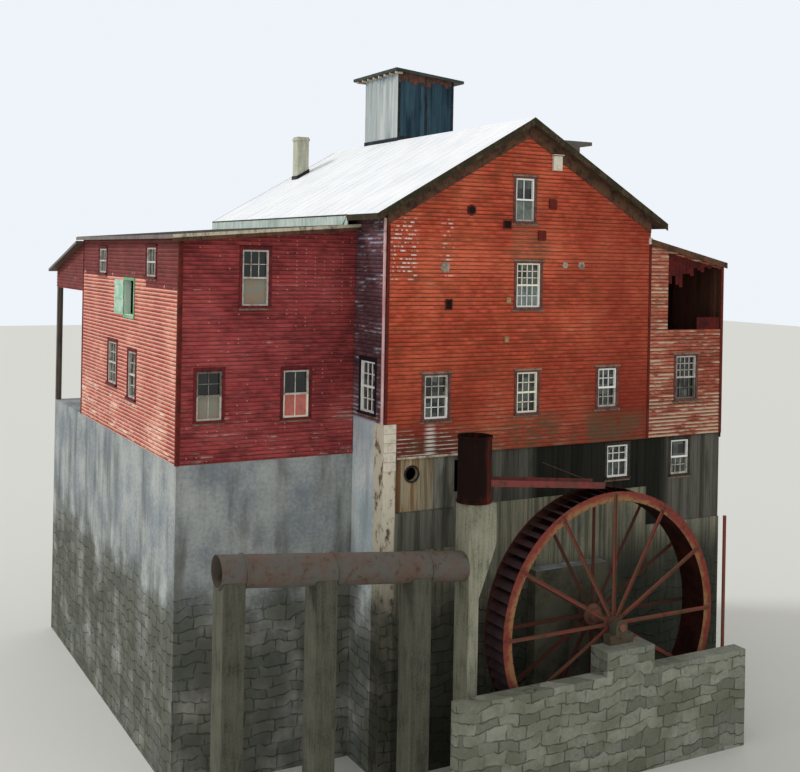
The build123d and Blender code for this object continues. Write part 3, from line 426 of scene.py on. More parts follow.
def end_paint(name, fresh, deep, warm, bare):
    """The wing end's paint: pale worn laps with a strong painted highlight, and under the eave and the porch roof a
    dark band that is partly unfaded crimson paint and partly painted shadow of the eave and the porch roof.
    """
    paint = Paint(name)
    # A strong painted highlight on each lap
    colour, worn, grain = lapped_colour(paint, fresh, deep, warm, bare, 0.0, 1.0, 0.65)
    course = (paint.z / EXPOSURE).floor()
    ragged = (paint.strip_noise(course, 1.3, 4) - 0.5) * SHADOW_BAND_STEP
    foot = SHADOW_BAND_FOOT - (paint.y < SHADOW_BAND_TURN) * SHADOW_BAND_STEP + ragged
    # The dark band under the eave and on the porch gable: unfaded paint, darkened further as painted shadow
    unfaded_paint_and_eave_shadow = paint.maths("MAXIMUM", course * EXPOSURE > foot, paint.y > MAIN_LENGTH)
    unfaded_paint_in_shadow = paint.mix(paint.noise(1.7, 5, (1, 1, 2.5)).rise(0.35, 0.65), screen(88, 22, 26), screen(112, 32, 36))
    colour = paint.mix(unfaded_paint_and_eave_shadow * (0.88 - worn * 0.4), colour, unfaded_paint_in_shadow)
    paint.colour(colour)
    paint.roughness(0.7 + worn * 0.2)
    paint.bump(grain * 0.7 - worn * 0.3, 0.006)
    return paint.material


def gable_paint(name, fresh, deep, warm, bare):
    """The gable's paint: white flecks at its upper left, damp, bare and peeling boards low down, and painted shade
    towards its right and its foot.
    """
    paint = Paint(name)
    colour, worn, grain = lapped_colour(paint, fresh, deep, warm, bare, 0.0)
    course = (paint.z / EXPOSURE).floor()
    rise = (paint.z / EXPOSURE).fraction()
    streak = paint.noise(2.4, 5, (1, 1, 9), 0.65)
    cloud = paint.noise(1.1, 4)
    foot = 1 - paint.z.rise(0.2, 1.2)
    film = (paint.strip_noise(course, 0.7, 5) * 0.8 + cloud * 0.4 - rise * 0.1).rise(0.52, 0.72)
    colour = paint.mix(film * 0.4, colour, BROWN_FILM)
    # Painted shade: darker towards the gable's right and towards its foot
    shade = paint.x.rise(5.5, 8.5) * 0.4 + (1 - paint.z.rise(1.0, 4.0)) * 0.36
    colour = paint.mix(shade, colour, screen(116, 34, 22))
    maroon = foot * (1 - paint.x.rise(2.0, 3.4))
    colour = paint.mix(maroon * 0.8, colour, MAROON)
    damp = foot * (streak + cloud * 0.4).rise(0.62, 0.82)
    colour = paint.mix(damp * 0.75, colour, DAMP_WOOD)
    for left, right, low, high in DAMP_PATCHES:
        stain = paint.patch(left, right, low, high, 0.25) * (streak * 0.7 + cloud * 0.5).rise(0.42, 0.7)
        # Each damp patch is stronger on the lower half of each course, where it also stands for painted shade at the
        # lap
        colour = paint.mix(stain * (0.9 - rise.rise(0.3, 0.8) * 0.6), colour, DAMP_WOOD)
    dash = paint.strip_noise(course, 6.0, 3).rise(0.48, 0.58) * paint.between(rise, 0.3, 0.66)
    for left, right, low, high, amount in FLECK_PATCHES:
        colour = paint.mix(paint.patch(left, right, low, high) * dash * amount, colour, PEELED)
    edge = paint.between(rise, 0.28, 0.5) * paint.strip_noise(course, 1.2, 4).rise(0.4, 0.6)
    colour = paint.mix(paint.patch(0.4, 2.6, -0.1, 0.75, 0.2) * edge * 0.7, colour, PEELED)
    colour = paint.mix(paint.patch(1.42, 1.7, 0.0, 0.9) * paint.between(rise, 0.2, 0.85) * 0.75, colour, PEELED)
    paint.colour(colour)
    paint.roughness(0.7 + worn * 0.2)
    paint.bump(grain * 0.7 - worn * 0.3, 0.006)
    return paint.material


def plank_paint(name, dark, light, stain, width=PLANK_WIDTH):
    """Bare upright boards, each its own grey, streaked downwards."""
    paint = Paint(name, 0.88)
    colour, grain = upright_grain(paint, dark, light, stain, width)
    paint.colour(colour)
    paint.bump(grain, 0.008)
    return paint.material


def upright_grain(paint, dark, light, stain, width=PLANK_WIDTH):
    """The colour and the grain of weathered upright boards."""
    board = (paint.along / width).floor()
    tone = paint.chance(board, 3.0)
    grain = paint.noise(9, 6, (1, 1, 0.06), 0.65)
    streak = paint.noise(2.6, 4, (1, 1, 0.16))
    colour = paint.mix((tone * 0.5 + grain * 1.1 - 0.3).rise(0.1, 0.85), dark, light)
    return paint.mix(streak.rise(0.5, 0.72) * 0.75, colour, stain), grain


def front_plank_paint():
    """The boards under the gable: brown and tan at the left, then grey, nearly black in the middle."""
    paint = Paint("front_planks", 0.88)
    colour, grain = upright_grain(paint, screen(84, 84, 76), screen(150, 148, 136), screen(70, 70, 62))
    tan = paint.mix(grain.rise(0.4, 0.6), screen(140, 106, 62), screen(176, 162, 134))
    brown = paint.mix(grain.rise(0.4, 0.6), screen(92, 62, 42), screen(116, 86, 62))
    upper = paint.z > -1.62
    colour = paint.mix(paint.between(paint.x, 0.5, 1.28) * upper * 0.85, colour, tan)
    colour = paint.mix(paint.between(paint.x, 1.28, 1.72) * upper * 0.55, colour, tan)
    colour = paint.mix((paint.x < 2.45) * (paint.z < -1.62) * 0.4, colour, screen(52, 56, 48))
    colour = paint.mix((paint.x < 0.6) * upper, colour, brown)
    colour = paint.mix((paint.x > 3.0) * 0.62, colour, screen(48, 46, 40))
    dark = (paint.x.rise(4.9, 5.6) - paint.x.rise(10.5, 11.1)) * 0.88
    colour = paint.mix(dark, colour, screen(16, 20, 14))
    paint.colour(colour)
    paint.bump(grain, 0.008)
    return paint.material


def cupola_paint(name, dark, light, stain, rust):
    """Upright boards on the cupola, streaked down from the eave: rust on the dark faces, and on the pale left face
    bluish streaks that are painted shade of the roof.
    """
    paint = Paint(name, 0.85)
    colour, grain = upright_grain(paint, dark, light, stain, 0.22)
    streak = paint.noise(3.0, 4, (1, 1, 0.25))
    high = paint.z.rise(11.9, 12.8)
    # Streaks from the eave down; on the pale left face their bluish colour is painted shade of the cupola roof
    colour = paint.mix((high * streak).rise(0.4, 0.65) * 0.7, colour, rust)
    paint.colour(colour)
    paint.bump(grain, 0.006)
    return paint.material


def metal_roof_paint(name, clean, dull, rust, amount):
    """Sheet metal roofing, a little streaked down the slope."""
    paint = Paint(name, 0.6, 0.0, 0.25)
    cloud = paint.noise(0.8, 4)
    streak = paint.noise(3.0, 4, (0.25, 2.2, 0.25))
    spots = paint.noise(6, 6, (1, 1, 1), 0.7)
    colour = paint.mix((cloud * 0.6 + streak * 0.6).rise(0.45, 0.8), clean, dull)
    colour = paint.mix((spots + amount).rise(0.62, 0.8), colour, rust)
    boards = paint.mix(spots.rise(0.4, 0.6), screen(70, 54, 44), screen(96, 74, 58))
    colour = paint.mix(paint.up < -0.2, colour, boards)
    paint.colour(colour)
    paint.roughness(0.5 + spots * 0.25)
    paint.bump(cloud * 0.5 + spots * 0.2, 0.01)
    return paint.material


def stone_paint(name, pale, grey, stain, moss, boarded=0.0):
    """Old lime render over coursed stone, stained by water and worn through to the stones low down; when boarded, also
    painted shade low down and at the right behind the wheel.
    """
    paint = Paint(name, 0.92)
    cloud = paint.noise(0.7, 6)
    fine = paint.noise(9, 6, (1, 1, 1), 0.7)
    streak = paint.noise(1.8, 5, (1, 1, 0.16))
    joint, tone = paint.masonry()
    depth = 1 - paint.z.rise(-6.0, -2.2)
    colour = paint.mix((cloud * 0.7 + fine * 0.5).rise(0.4, 0.75), pale, grey)
    colour = paint.mix(streak.rise(0.45, 0.75) * 0.8, colour, stain)
    height = cloud * 0.5 + fine * 0.25
    if boarded:
        marks = paint.noise(8, 4, (1, 1, 0.03))
        tint = paint.noise(3.2, 3, (1, 1, 0.05))
        colour = paint.mix(tint.rise(0.4, 0.62) * boarded, colour, screen(150, 142, 118))
        colour = paint.mix(marks.rise(0.45, 0.62) * boarded, colour, screen(78, 80, 68))
        height = height + marks * boarded
        cracks = paint.noise(3.5, 6, (1, 1, 0.6), 0.7)
        cream = paint.mix(cracks.rise(0.5, 0.64), screen(222, 214, 192), screen(112, 92, 74))
        colour = paint.mix(1 - (paint.x + cloud * 0.3).rise(0.5, 0.6), colour, cream)
    through = (depth * 0.55 + cloud * 0.9 + fine * 0.15).rise(0.68, 1.0) * 0.8
    stone = paint.mix((tone * 0.8 + fine * 0.4).rise(0.2, 0.95), screen(92, 90, 82), screen(132, 128, 116))
    colour = paint.mix(through * 0.85, colour, stone)
    colour = paint.mix(through * joint * 0.6, colour, screen(62, 60, 54))
    # Moss low down; the boarded foundation's near-black moss colour is also painted shade there
    colour = paint.mix(depth * (cloud + streak * 0.4).rise(0.45, 0.8) * 0.7, colour, moss)
    if boarded:
        # Painted shade on the boarded foundation: low down, and at the right behind the wheel
        far = (paint.x + cloud).rise(8.6, 9.4) * (1 - (paint.z + cloud).rise(-3.4, -2.2))
        colour = paint.mix((depth.least(1.0) * 0.6 + far * 0.5).least(0.85), colour, screen(44, 48, 40))
    paint.colour(colour)
    paint.bump(height + through * (tone * 0.4 - joint), 0.05)
    return paint.material


def masonry_paint(name, dark, pale, joints, moss):
    """A wall of rough stone blocks."""
    paint = Paint(name, 0.92)
    joint, tone = paint.masonry()
    cloud = paint.noise(1.2, 5)
    fine = paint.noise(8, 6, (1, 1, 1), 0.7)
    colour = paint.mix((tone * 0.35 + fine * 0.7 + cloud * 0.3).rise(0.35, 1.05), dark, pale)
    colour = paint.mix((cloud + fine * 0.3).rise(0.58, 0.8) * 0.6, colour, moss)
    colour = paint.mix(joint * 0.6, colour, joints)
    paint.colour(colour)
    paint.bump(fine * 0.5 + cloud * 0.4 + tone * 0.2 - joint * 0.6, 0.06)
    return paint.material


def ledge_paint():
    """The ledge behind the wheel: a pale worn top, made paler and bluish as painted sky light, on dark mossy sides
    painted darker as shade.
    """
    paint = Paint("ledge_stone", 0.92)
    cloud = paint.noise(1.4, 5)
    fine = paint.noise(9, 6, (1, 1, 1), 0.7)
    sides = paint.mix((cloud + fine * 0.4).rise(0.45, 0.85), screen(52, 56, 46), screen(92, 90, 76))
    top = paint.mix((cloud + fine * 0.4).rise(0.5, 0.85), screen(158, 166, 172), screen(118, 120, 112))
    # Painted light and shade: the top pale and bluish as if under the sky, the sides dark as in shade
    paint.colour(paint.mix(paint.z > -3.77, sides, top))
    paint.bump(cloud * 0.6 + fine * 0.4, 0.04)
    return paint.material


def concrete_paint(name, pale, stain, dark):
    """Cast concrete, streaked with damp."""
    paint = Paint(name, 0.9)
    cloud = paint.noise(1.6, 5)
    fine = paint.noise(16, 6, (1, 1, 1), 0.7)
    streak = paint.noise(9, 6, (1, 1, 0.09), 0.65)
    colour = paint.mix((streak * 0.6 + cloud * 0.3 + fine * 0.4).rise(0.5, 0.85), pale, stain)
    colour = paint.mix((cloud * 0.5 + streak * 0.5 + fine * 0.4).rise(0.7, 0.95) * 0.7, colour, dark)
    paint.colour(colour)
    paint.bump(fine * 0.6 + cloud * 0.5, 0.02)
    return paint.material


def rusty_paint(name, base, rust, dark, amount=0.0, shaded=0.0):
    """Steel with old paint going to rust, darker where the wheel's far side lies in shade."""
    paint = Paint(name, 0.8, 0.0)
    cloud = paint.noise(1.3, 6)
    blotch = paint.noise(4, 6, (1, 1, 1), 0.7)
    fine = paint.noise(24, 4)
    colour = paint.mix((cloud * 0.6 + blotch * 0.6 + amount).rise(0.5, 0.75), base, rust)
    colour = paint.mix((blotch + fine * 0.25).rise(0.66, 0.85) * 0.8, colour, dark)
    if shaded:
        colour = paint.mix((paint.y > WHEEL_MIDDLE) * shaded, colour, screen(58, 36, 28))
    paint.colour(colour)
    paint.roughness(0.6 + blotch * 0.35)
    paint.bump(blotch * 0.5 + fine * 0.4, 0.006)
    return paint.material


def ring_paint(name):
    """The wheel's rings: worn red paint outside, going to tan rust at the inner edge, the far ring painted darker as
    shade.
    """
    paint = Paint(name, 0.85)
    across = paint.x - WHEEL_X
    up = paint.z - WHEEL_Z
    radius = paint.maths("SQRT", across * across + up * up)
    cloud = paint.noise(0.9, 5)
    blotch = paint.noise(5, 6, (1, 1, 1), 0.7)
    fine = paint.noise(26, 4)
    inner = 1 - (radius + (blotch - 0.5) * 0.3).rise(WHEEL_RADIUS - SHROUD_DEPTH, WHEEL_RADIUS - 0.05)
    colour = paint.mix((blotch * 0.7 + fine * 0.4).rise(0.45, 0.75), screen(136, 64, 54), screen(104, 60, 50))
    colour = paint.mix((inner * 0.36 + cloud * 1.1).rise(0.6, 0.92) * 0.85, colour, screen(150, 112, 76))
    colour = paint.mix((blotch + fine * 0.25).rise(0.68, 0.88) * 0.8, colour, screen(70, 44, 36))
    # Painted shade: the far ring made darker
    colour = paint.mix((paint.y > WHEEL_MIDDLE) * 0.75, colour, screen(52, 34, 28))
    paint.colour(colour)
    paint.bump(blotch * 0.5 + fine * 0.4, 0.006)
    return paint.material


def standpipe_paint():
    """Nearly black iron, streaked with rust, with a paler upright band down it as a painted highlight."""
    paint = Paint("standpipe_iron", 0.85, 0.0)
    streak = paint.noise(5, 5, (1, 1, 0.12), 0.65)
    fine = paint.noise(24, 4)
    # Painted highlight: a paler rust-red upright band down the pipe
    upright_highlight = 1 - ((paint.x - 2.42).size()).rise(0.02, 0.26)
    foot = 1 - paint.z.rise(-1.1, -0.7)
    mask = (streak * 0.9 + upright_highlight * 0.22 + foot * 0.15).rise(0.48, 0.95)
    colour = paint.mix(mask, screen(26, 12, 8), screen(98, 38, 26))
    colour = paint.mix((streak + fine * 0.3).rise(0.72, 0.9) * 0.7, colour, screen(14, 8, 6))
    paint.colour(colour)
    paint.roughness(0.78 + streak * 0.2)
    paint.bump(streak * 0.5 + fine * 0.4, 0.006)
    return paint.material


def wood_trim_paint(name, fresh, worn, amount):
    """Thin paint on window wood, worn along the grain."""
    paint = Paint(name, 0.8)
    grain = paint.noise(14, 5, (1, 1, 0.5), 0.65)
    cloud = paint.noise(2.5, 4)
    mask = (grain * 0.6 + cloud * 0.6 + amount).rise(0.5, 0.75)
    paint.colour(paint.mix(mask, fresh, worn))
    paint.bump(grain, 0.004)
    return paint.material


def casing_paint(name, fresh, worn):
    """Window casings: brown, but crimson on the left wing, dark under the gable's siding, and nearly black as painted
    shade on the main block's short left side.
    """
    paint = Paint(name, 0.8)
    grain = paint.noise(14, 5, (1, 1, 0.5), 0.65)
    colour = paint.mix(grain.rise(0.4, 0.65), fresh, worn)
    crimson = paint.mix(grain.rise(0.4, 0.65), screen(116, 42, 44), screen(76, 36, 40))
    dark = paint.mix(grain.rise(0.4, 0.65), screen(70, 64, 56), screen(44, 40, 36))
    side = paint.between(paint.x, -0.5, 0.1) * (paint.y < 1.9)
    colour = paint.mix(paint.x < 0.1, colour, crimson)
    # Painted shade of the wing on the casing of the main block's short left side
    colour = paint.mix(side, colour, screen(34, 30, 36))
    colour = paint.mix((paint.z < 0) * (paint.x > 0.1), colour, dark)
    paint.colour(colour)
    paint.bump(grain, 0.004)
    return paint.material


def glass_paint(name):
    """Dusty window glass, painted dark as the shade of the rooms behind it, each pane a little different."""
    paint = Paint(name, 0.25, 0.0, 0.5)
    dust = paint.noise(3, 4)
    pane = paint.chance((paint.along / 0.21).floor(), (paint.z / 0.31).floor())
    colour = paint.mix((dust * 0.6 + pane * 0.7).rise(0.5, 1.1), screen(16, 19, 18), screen(92, 100, 92))
    # The wing front's panes nearly black: painted shade of the rooms behind them
    wing = (paint.x < -0.1) * (paint.y < 3.0)
    colour = paint.mix(wing * 0.92, colour, screen(6, 6, 6))
    paint.colour(colour)
    paint.roughness(0.12 + dust * 0.3)
    paint.bump(paint.noise(1.5, 2), 0.01, 0.3)
    return paint.material


def dress(material, *names):
    """Gives CAD nodes a better material."""
    for name in names:
        for holder in NODES[name].material_slots:
            holder.material = material


def use(piece):
    """Makes a piece the only one selected."""
    bpy.ops.object.select_all(action="DESELECT")
    piece.select_set(True)
    bpy.context.view_layer.objects.active = piece


def apply(piece, kind, **settings):
    """Adds a modifier to a piece and applies it."""
    use(piece)
    modifier = piece.modifiers.new(kind.lower(), kind)
    for name, value in settings.items():
        setattr(modifier, name, value)
    bpy.ops.object.modifier_apply(modifier=modifier.name)


def pick(piece, test):
    """Opens a piece for shaping with only the corners that pass a test selected."""
    use(piece)
    bpy.ops.object.mode_set(mode="EDIT")
    bpy.ops.mesh.select_mode(type="VERT")
    bpy.ops.mesh.select_all(action="DESELECT")
    bpy.ops.object.mode_set(mode="OBJECT")
    for vertex in piece.data.vertices:
        vertex.select = test(vertex.co)
    bpy.ops.object.mode_set(mode="EDIT")


def done():
    """Leaves edit mode."""
    bpy.ops.object.mode_set(mode="OBJECT")


def block(name, first, second):
    """A new block between two opposite corners."""
    low = Vector(map(min, first, second))
    high = Vector(map(max, first, second))
    bpy.ops.object.select_all(action="DESELECT")
    bpy.ops.mesh.primitive_cube_add(size=1, location=(low + high) / 2, scale=high - low)
    bpy.ops.object.transform_apply(location=True, rotation=True, scale=True)
    piece = bpy.context.object
    piece.name = name
    return piece


def join(name, pieces):
    """Makes one piece of several."""
    use(pieces[0])
    for piece in pieces:
        piece.select_set(True)
    if len(pieces) > 1:
        bpy.ops.object.join()
    pieces[0].name = name
    return pieces[0]


def cut(piece, place, away):
    """Cuts a piece along a plane and drops what lies beyond it."""
    pick(piece, lambda corner: True)
    bpy.ops.mesh.bisect(plane_co=place, plane_no=away, use_fill=True, clear_outer=True)
    done()


def cut_holes(piece, blocks):
    """Takes blocks out of a piece."""
    cutter = join("cutter", blocks)
    apply(piece, "BOOLEAN", operation="DIFFERENCE", object=cutter, solver="EXACT")
    bpy.data.objects.remove(cutter)


def finish(piece, material, body="mill"):
    """Gives a piece its material and the body that it rides on."""
    piece.data.materials.clear()
    piece.data.materials.append(material)
    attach(piece, body)
    return piece


class Wall:
    """The outside face of an upright wall, in line with the building."""

    def __init__(self, axis, face, outward):
        self.axis = axis
        self.face = face
        self.outward = outward
        self.normal = Vector((0, outward, 0)) if axis == "x" else Vector((outward, 0, 0))
        self.run = Vector((1, 0, 0)) if axis == "x" else Vector((0, 1, 0))

    def point(self, along, out, up):
        """A point so far along the wall, so far out from its face and so high up."""
        across = self.face + self.outward * out
        return spot(along, across, up) if self.axis == "x" else spot(across, along, up)

    def slope(self, along, up, pitch):
        """A cut under a roof line that rises along the wall at a pitch."""
        away = Vector((0, 0, math.cos(pitch))) - self.run * math.sin(pitch)
        return self.point(along, 0, up), away


FRONT = Wall("x", 0, -1)
BACK = Wall("x", MAIN_LENGTH, 1)
LOWER_FRONT = Wall("x", LOWER_SETBACK, -1)
WING_FRONT = Wall("x", WING_SETBACK, -1)
WING_END = Wall("y", WING_LEFT, -1)
LEFT_SIDE = Wall("y", 0, -1)
PORCH_INNER = Wall("y", 0, 1)
RIGHT_SIDE = Wall("y", MAIN_WIDTH, 1)
RIGHT_WING_END = Wall("y", RIGHT_END, 1)
CUTTER_OUT = 0.2


def sloped(name, low, high, start, pitch, under, over):
    """A block kept between two planes that rise along x at a pitch, so far under and over a point."""
    up = Vector((-math.sin(pitch), 0, math.cos(pitch)))
    piece = block(name, low, high)
    cut(piece, start + up * over, up)
    cut(piece, start + up * under, -up)
    return piece


def rod(name, start, end, radius, sides=12):
    """A round bar between two points, with its front edge eased."""
    bpy.ops.object.select_all(action="DESELECT")
    bpy.ops.mesh.primitive_cylinder_add(vertices=sides, radius=radius, depth=(end - start).length)
    piece = bpy.context.object
    piece.name = name
    piece.matrix_world = Matrix.Translation((start + end) / 2) @ (end - start).to_track_quat("Z", "Y").to_matrix().to_4x4()
    use(piece)
    bpy.ops.object.transform_apply(location=True, rotation=True, scale=True)
    apply(piece, "BEVEL", width=radius * 0.25, segments=1, limit_method="ANGLE")
    return piece


def repeat(piece, count, step):
    """Copies a piece along a line, joined into one mesh."""
    settings = {"use_relative_offset": False, "use_constant_offset": True, "constant_offset_displace": step}
    apply(piece, "ARRAY", count=count, **settings)
    return piece


def gap(wall, left, sill, width, height, margin=0.0):
    """A block that clears an opening in what stands on a wall."""
    first = wall.point(left - margin, -CUTTER_OUT, sill - margin)
    return block("cutter", first, wall.point(left + width + margin, CUTTER_OUT, sill + height + margin))


def window_gap(wall, window):
    """A block that clears a window with its casing."""
    wide = window.width + 2 * CASING_WIDTH
    high = window.height + CASING_WIDTH + SILL_HEIGHT
    return gap(wall, window.left - CASING_WIDTH, window.sill - SILL_HEIGHT, wide, high)


def clapboards(name, wall, start, end, foot, top, holes=(), slopes=()):
    """Lapped boards on a wall, cut round its windows and under its roof."""
    first = math.floor(foot / EXPOSURE)
    count = math.ceil(top / EXPOSURE) - first
    bottom = first * EXPOSURE
    low = wall.point(start, 0, bottom)
    boards = block(name, low, wall.point(end, BOARD_OUT, bottom + EXPOSURE - BOARD_GAP))
    outer = wall.point(start, BOARD_OUT / 2, bottom + EXPOSURE / 2)
    pick(boards, lambda corner: corner.z > outer.z and (corner - outer).dot(wall.normal) > 0)
    bpy.ops.transform.translate(value=wall.normal * (BOARD_TOP_OUT - BOARD_OUT))
    done()
    repeat(boards, count, (0, 0, EXPOSURE))
    cut(boards, wall.point(start, 0, foot), Vector((0, 0, -1)))
    cut(boards, wall.point(start, 0, top), Vector((0, 0, 1)))
    for place, away in slopes:
        cut(boards, place, away)
    if holes:
        cut_holes(boards, holes)
    return boards


def upright_boards(name, wall, start, end, foot, top, out, seed, holes=(), slopes=(), width=PLANK_WIDTH, ragged=0.0):
    """Upright boards on a wall, a little uneven."""
    chance = random.Random(seed)
    pieces = []
    count = round((end - start) / width)
    wide = (end - start) / count
    for n in range(count):
        left = start + n * wide + PLANK_GAP / 2
        right = start + (n + 1) * wide - PLANK_GAP / 2
        low = wall.point(left, 0, foot + chance.uniform(0, ragged))
        pieces.append(block(name, low, wall.point(right, out * chance.uniform(0.55, 1.0), top)))
    boards = join(name, pieces)
    for place, away in slopes:
        cut(boards, place, away)
    if holes:
        cut_holes(boards, holes)
    return boards


def add_camera():
    """The camera at the photograph's viewing angle."""
    data = bpy.data.cameras.new("camera")
    data.lens = CAMERA_LENS
    data.sensor_width = CAMERA_SENSOR
    data.shift_y = CAMERA_SHIFT
    data.clip_end = CAMERA_REACH
    camera = bpy.data.objects.new("camera", data)
    bpy.context.scene.collection.objects.link(camera)
    turn = Matrix.Rotation(-CAMERA_TURN, 4, "Z")
    level = Matrix.Rotation(math.pi / 2, 4, "X")
    roll = Matrix.Rotation(CAMERA_ROLL, 4, "Z")
    camera.matrix_world = Matrix.Translation(CORNER + CAMERA_PLACE) @ turn @ level @ roll
    bpy.context.scene.camera = camera


def add_floor():
    """The pale floor, which is no part of the mill."""
    bpy.ops.object.select_all(action="DESELECT")
    bpy.ops.mesh.primitive_plane_add(size=CAMERA_REACH)
    floor = bpy.context.object
    floor.name = "studio_floor"
    paint = Paint("studio_floor", 0.9)
    paint.colour(screen(214, 214, 208))
    floor.data.materials.append(paint.material)


def add_light():
    """Soft light from the whole sky, and a gentle lamp from behind and to the left."""
    world = bpy.data.worlds.new("studio")
    bpy.context.scene.world = world
    world.use_nodes = True
    tree = world.node_tree
    sky = tree.nodes["Background"]
    sky.inputs["Color"].default_value = (1.0, 1.0, 1.0, 1.0)
    sky.inputs["Strength"].default_value = SKY_STRENGTH
    backdrop = tree.nodes.new("ShaderNodeBackground")
    backdrop.inputs["Color"].default_value = screen(238, 244, 250)
    rays = tree.nodes.new("ShaderNodeLightPath")
    seen = rays.outputs["Is Camera Ray"]
    for other in ("Is Glossy Ray", "Is Transmission Ray"):
        either = tree.nodes.new("ShaderNodeMath")
        either.operation = "MAXIMUM"
        tree.links.new(seen, either.inputs[0])
        tree.links.new(rays.outputs[other], either.inputs[1])
        seen = either.outputs[0]
    chosen = tree.nodes.new("ShaderNodeMixShader")
    tree.links.new(seen, chosen.inputs[0])
    tree.links.new(sky.outputs[0], chosen.inputs[1])
    tree.links.new(backdrop.outputs[0], chosen.inputs[2])
    tree.links.new(chosen.outputs[0], tree.nodes["World Output"].inputs["Surface"])
    lamp = bpy.data.lights.new("sun", "SUN")
    lamp.energy = SUN_STRENGTH
    lamp.angle = SUN_SPREAD
    sun = bpy.data.objects.new("sun", lamp)
    bpy.context.scene.collection.objects.link(sun)
    sun.matrix_world = SUN_DIRECTION.to_track_quat("-Z", "Y").to_matrix().to_4x4()


# Finishes
ORANGE = gable_paint("orange_siding", screen(216, 92, 66), screen(154, 52, 34), screen(230, 136, 98), screen(190, 164, 142))
FADED = siding_paint(
    "faded_siding", screen(192, 98, 78), screen(130, 58, 44), screen(210, 148, 116), screen(214, 194, 168), 0.12, 1.25
)
CRIMSON = siding_paint(
    "crimson_siding", screen(170, 66, 68), screen(106, 36, 42), screen(194, 108, 102), screen(190, 160, 150), -0.03, 0.8, 0.22, 0.7
)
BLEACHED = end_paint(
    "bleached_siding", screen(210, 104, 90), screen(162, 66, 60), screen(254, 214, 188), screen(242, 222, 204)
)
# The main block's short left side: its red siding painted darker and purple as the shade of the wing
SHADED_PURPLE = siding_paint(
    "shaded_purple_siding", screen(128, 84, 90), screen(72, 50, 58), screen(142, 110, 118), screen(180, 188, 204), 0.1, 1.0
)
# Dark red-brown inner walls, partly their own old paint and partly painted shade of the rooms inside
SHADED_INNER_BOARDS = plank_paint("shaded_inner_boards", screen(62, 38, 30), screen(96, 60, 46), screen(48, 32, 28))
FRONT_PLANKS = front_plank_paint()
GREY_PLANKS = plank_paint("grey_planks", screen(84, 80, 72), screen(128, 120, 106), screen(62, 58, 52))
RAKE_WOOD = wood_trim_paint("rake_wood", screen(104, 74, 56), screen(60, 46, 38), 0.0)
MOSSY_WOOD = wood_trim_paint("mossy_wood", screen(52, 48, 34), screen(96, 78, 58), -0.06)
CASING_WOOD = casing_paint("casing_wood", screen(116, 78, 72), screen(78, 56, 54))
HEAD_WOOD = wood_trim_paint("head_wood", screen(152, 124, 106), screen(102, 82, 70), 0.0)
PALE_WOOD = wood_trim_paint("pale_wood", screen(206, 198, 176), screen(140, 122, 100), -0.04)
DARK_CUPOLA = cupola_paint(
    "dark_cupola_boards", screen(36, 56, 68), screen(62, 90, 104), screen(22, 34, 42), screen(70, 64, 60)
)
# The cupola's left face: its boards painted paler as in sunlight, the bluish streaks at its top painted shade of the
# roof
SUNLIT_PALE_CUPOLA = cupola_paint(
    "sunlit_pale_cupola_boards", screen(150, 160, 160), screen(190, 196, 192), screen(118, 132, 140), screen(112, 128, 150)
)
CUPOLA_TRIM = wood_trim_paint("cupola_trim", screen(28, 34, 40), screen(58, 62, 64), 0.0)
RUSTY_BOARDS = wood_trim_paint("rusty_boards", screen(108, 74, 62), screen(64, 54, 50), 0.0)
ROOF_METAL = metal_roof_paint("roof_metal", screen(242, 243, 244), screen(226, 229, 232), screen(170, 156, 146), -0.14)
GREEN_METAL = metal_roof_paint("green_roof_metal", screen(36, 50, 46), screen(66, 78, 68), screen(104, 92, 70), 0.0)
DULL_METAL = metal_roof_paint("dull_roof_metal", screen(120, 112, 106), screen(88, 80, 76), screen(110, 66, 50), 0.02)
APRON_METAL = metal_roof_paint("apron_metal", screen(206, 220, 212), screen(160, 180, 170), screen(110, 110, 96), 0.0)
CHIMNEY_PAINT = concrete_paint("chimney_paint", screen(196, 198, 178), screen(160, 160, 140), screen(112, 104, 84))
BLACK_METAL = metal_roof_paint("black_metal", screen(24, 26, 28), screen(44, 44, 42), screen(60, 50, 42), -0.05)
PINK_METAL = metal_roof_paint("pink_metal", screen(222, 186, 184), screen(196, 140, 138), screen(120, 64, 58), 0.06)
STONE = stone_paint("stone", screen(178, 182, 178), screen(128, 136, 142), screen(98, 98, 92), screen(70, 74, 60))
PALE_STONE = stone_paint(
    "pale_stone", screen(236, 240, 238), screen(184, 200, 210), screen(146, 148, 140), screen(80, 82, 68)
)
BOARDED_STONE = stone_paint(
    "boarded_stone", screen(158, 156, 138), screen(114, 118, 106), screen(78, 80, 70), screen(52, 54, 44), 0.7
)
BLOCK_STONE = masonry_paint(
    "block_stone", screen(104, 106, 96), screen(164, 166, 152), screen(78, 76, 66), screen(96, 100, 78)
)
LEDGE_STONE = ledge_paint()
CREAM_STONE = wood_trim_paint("cream_stone", screen(226, 218, 200), screen(180, 166, 142), -0.06)
CONCRETE = concrete_paint("concrete", screen(156, 154, 136), screen(118, 118, 98), screen(76, 80, 68))
DARK_CONCRETE = concrete_paint("dark_concrete", screen(92, 92, 80), screen(66, 66, 56), screen(48, 54, 44))
RED_STEEL = ring_paint("red_steel")
ARM_STEEL = rusty_paint("arm_steel", screen(130, 62, 58), screen(100, 72, 54), screen(66, 44, 38), 0.05, 0.75)
FLUME_STEEL = rusty_paint("flume_steel", screen(130, 64, 62), screen(100, 66, 58), screen(70, 46, 42), 0.02)
POST_STEEL = rusty_paint("post_steel", screen(128, 66, 58), screen(110, 72, 58), screen(70, 44, 38), 0.0)
BUCKET_STEEL = rusty_paint("bucket_steel", screen(66, 54, 60), screen(78, 54, 52), screen(36, 30, 34), 0.0, 0.3)
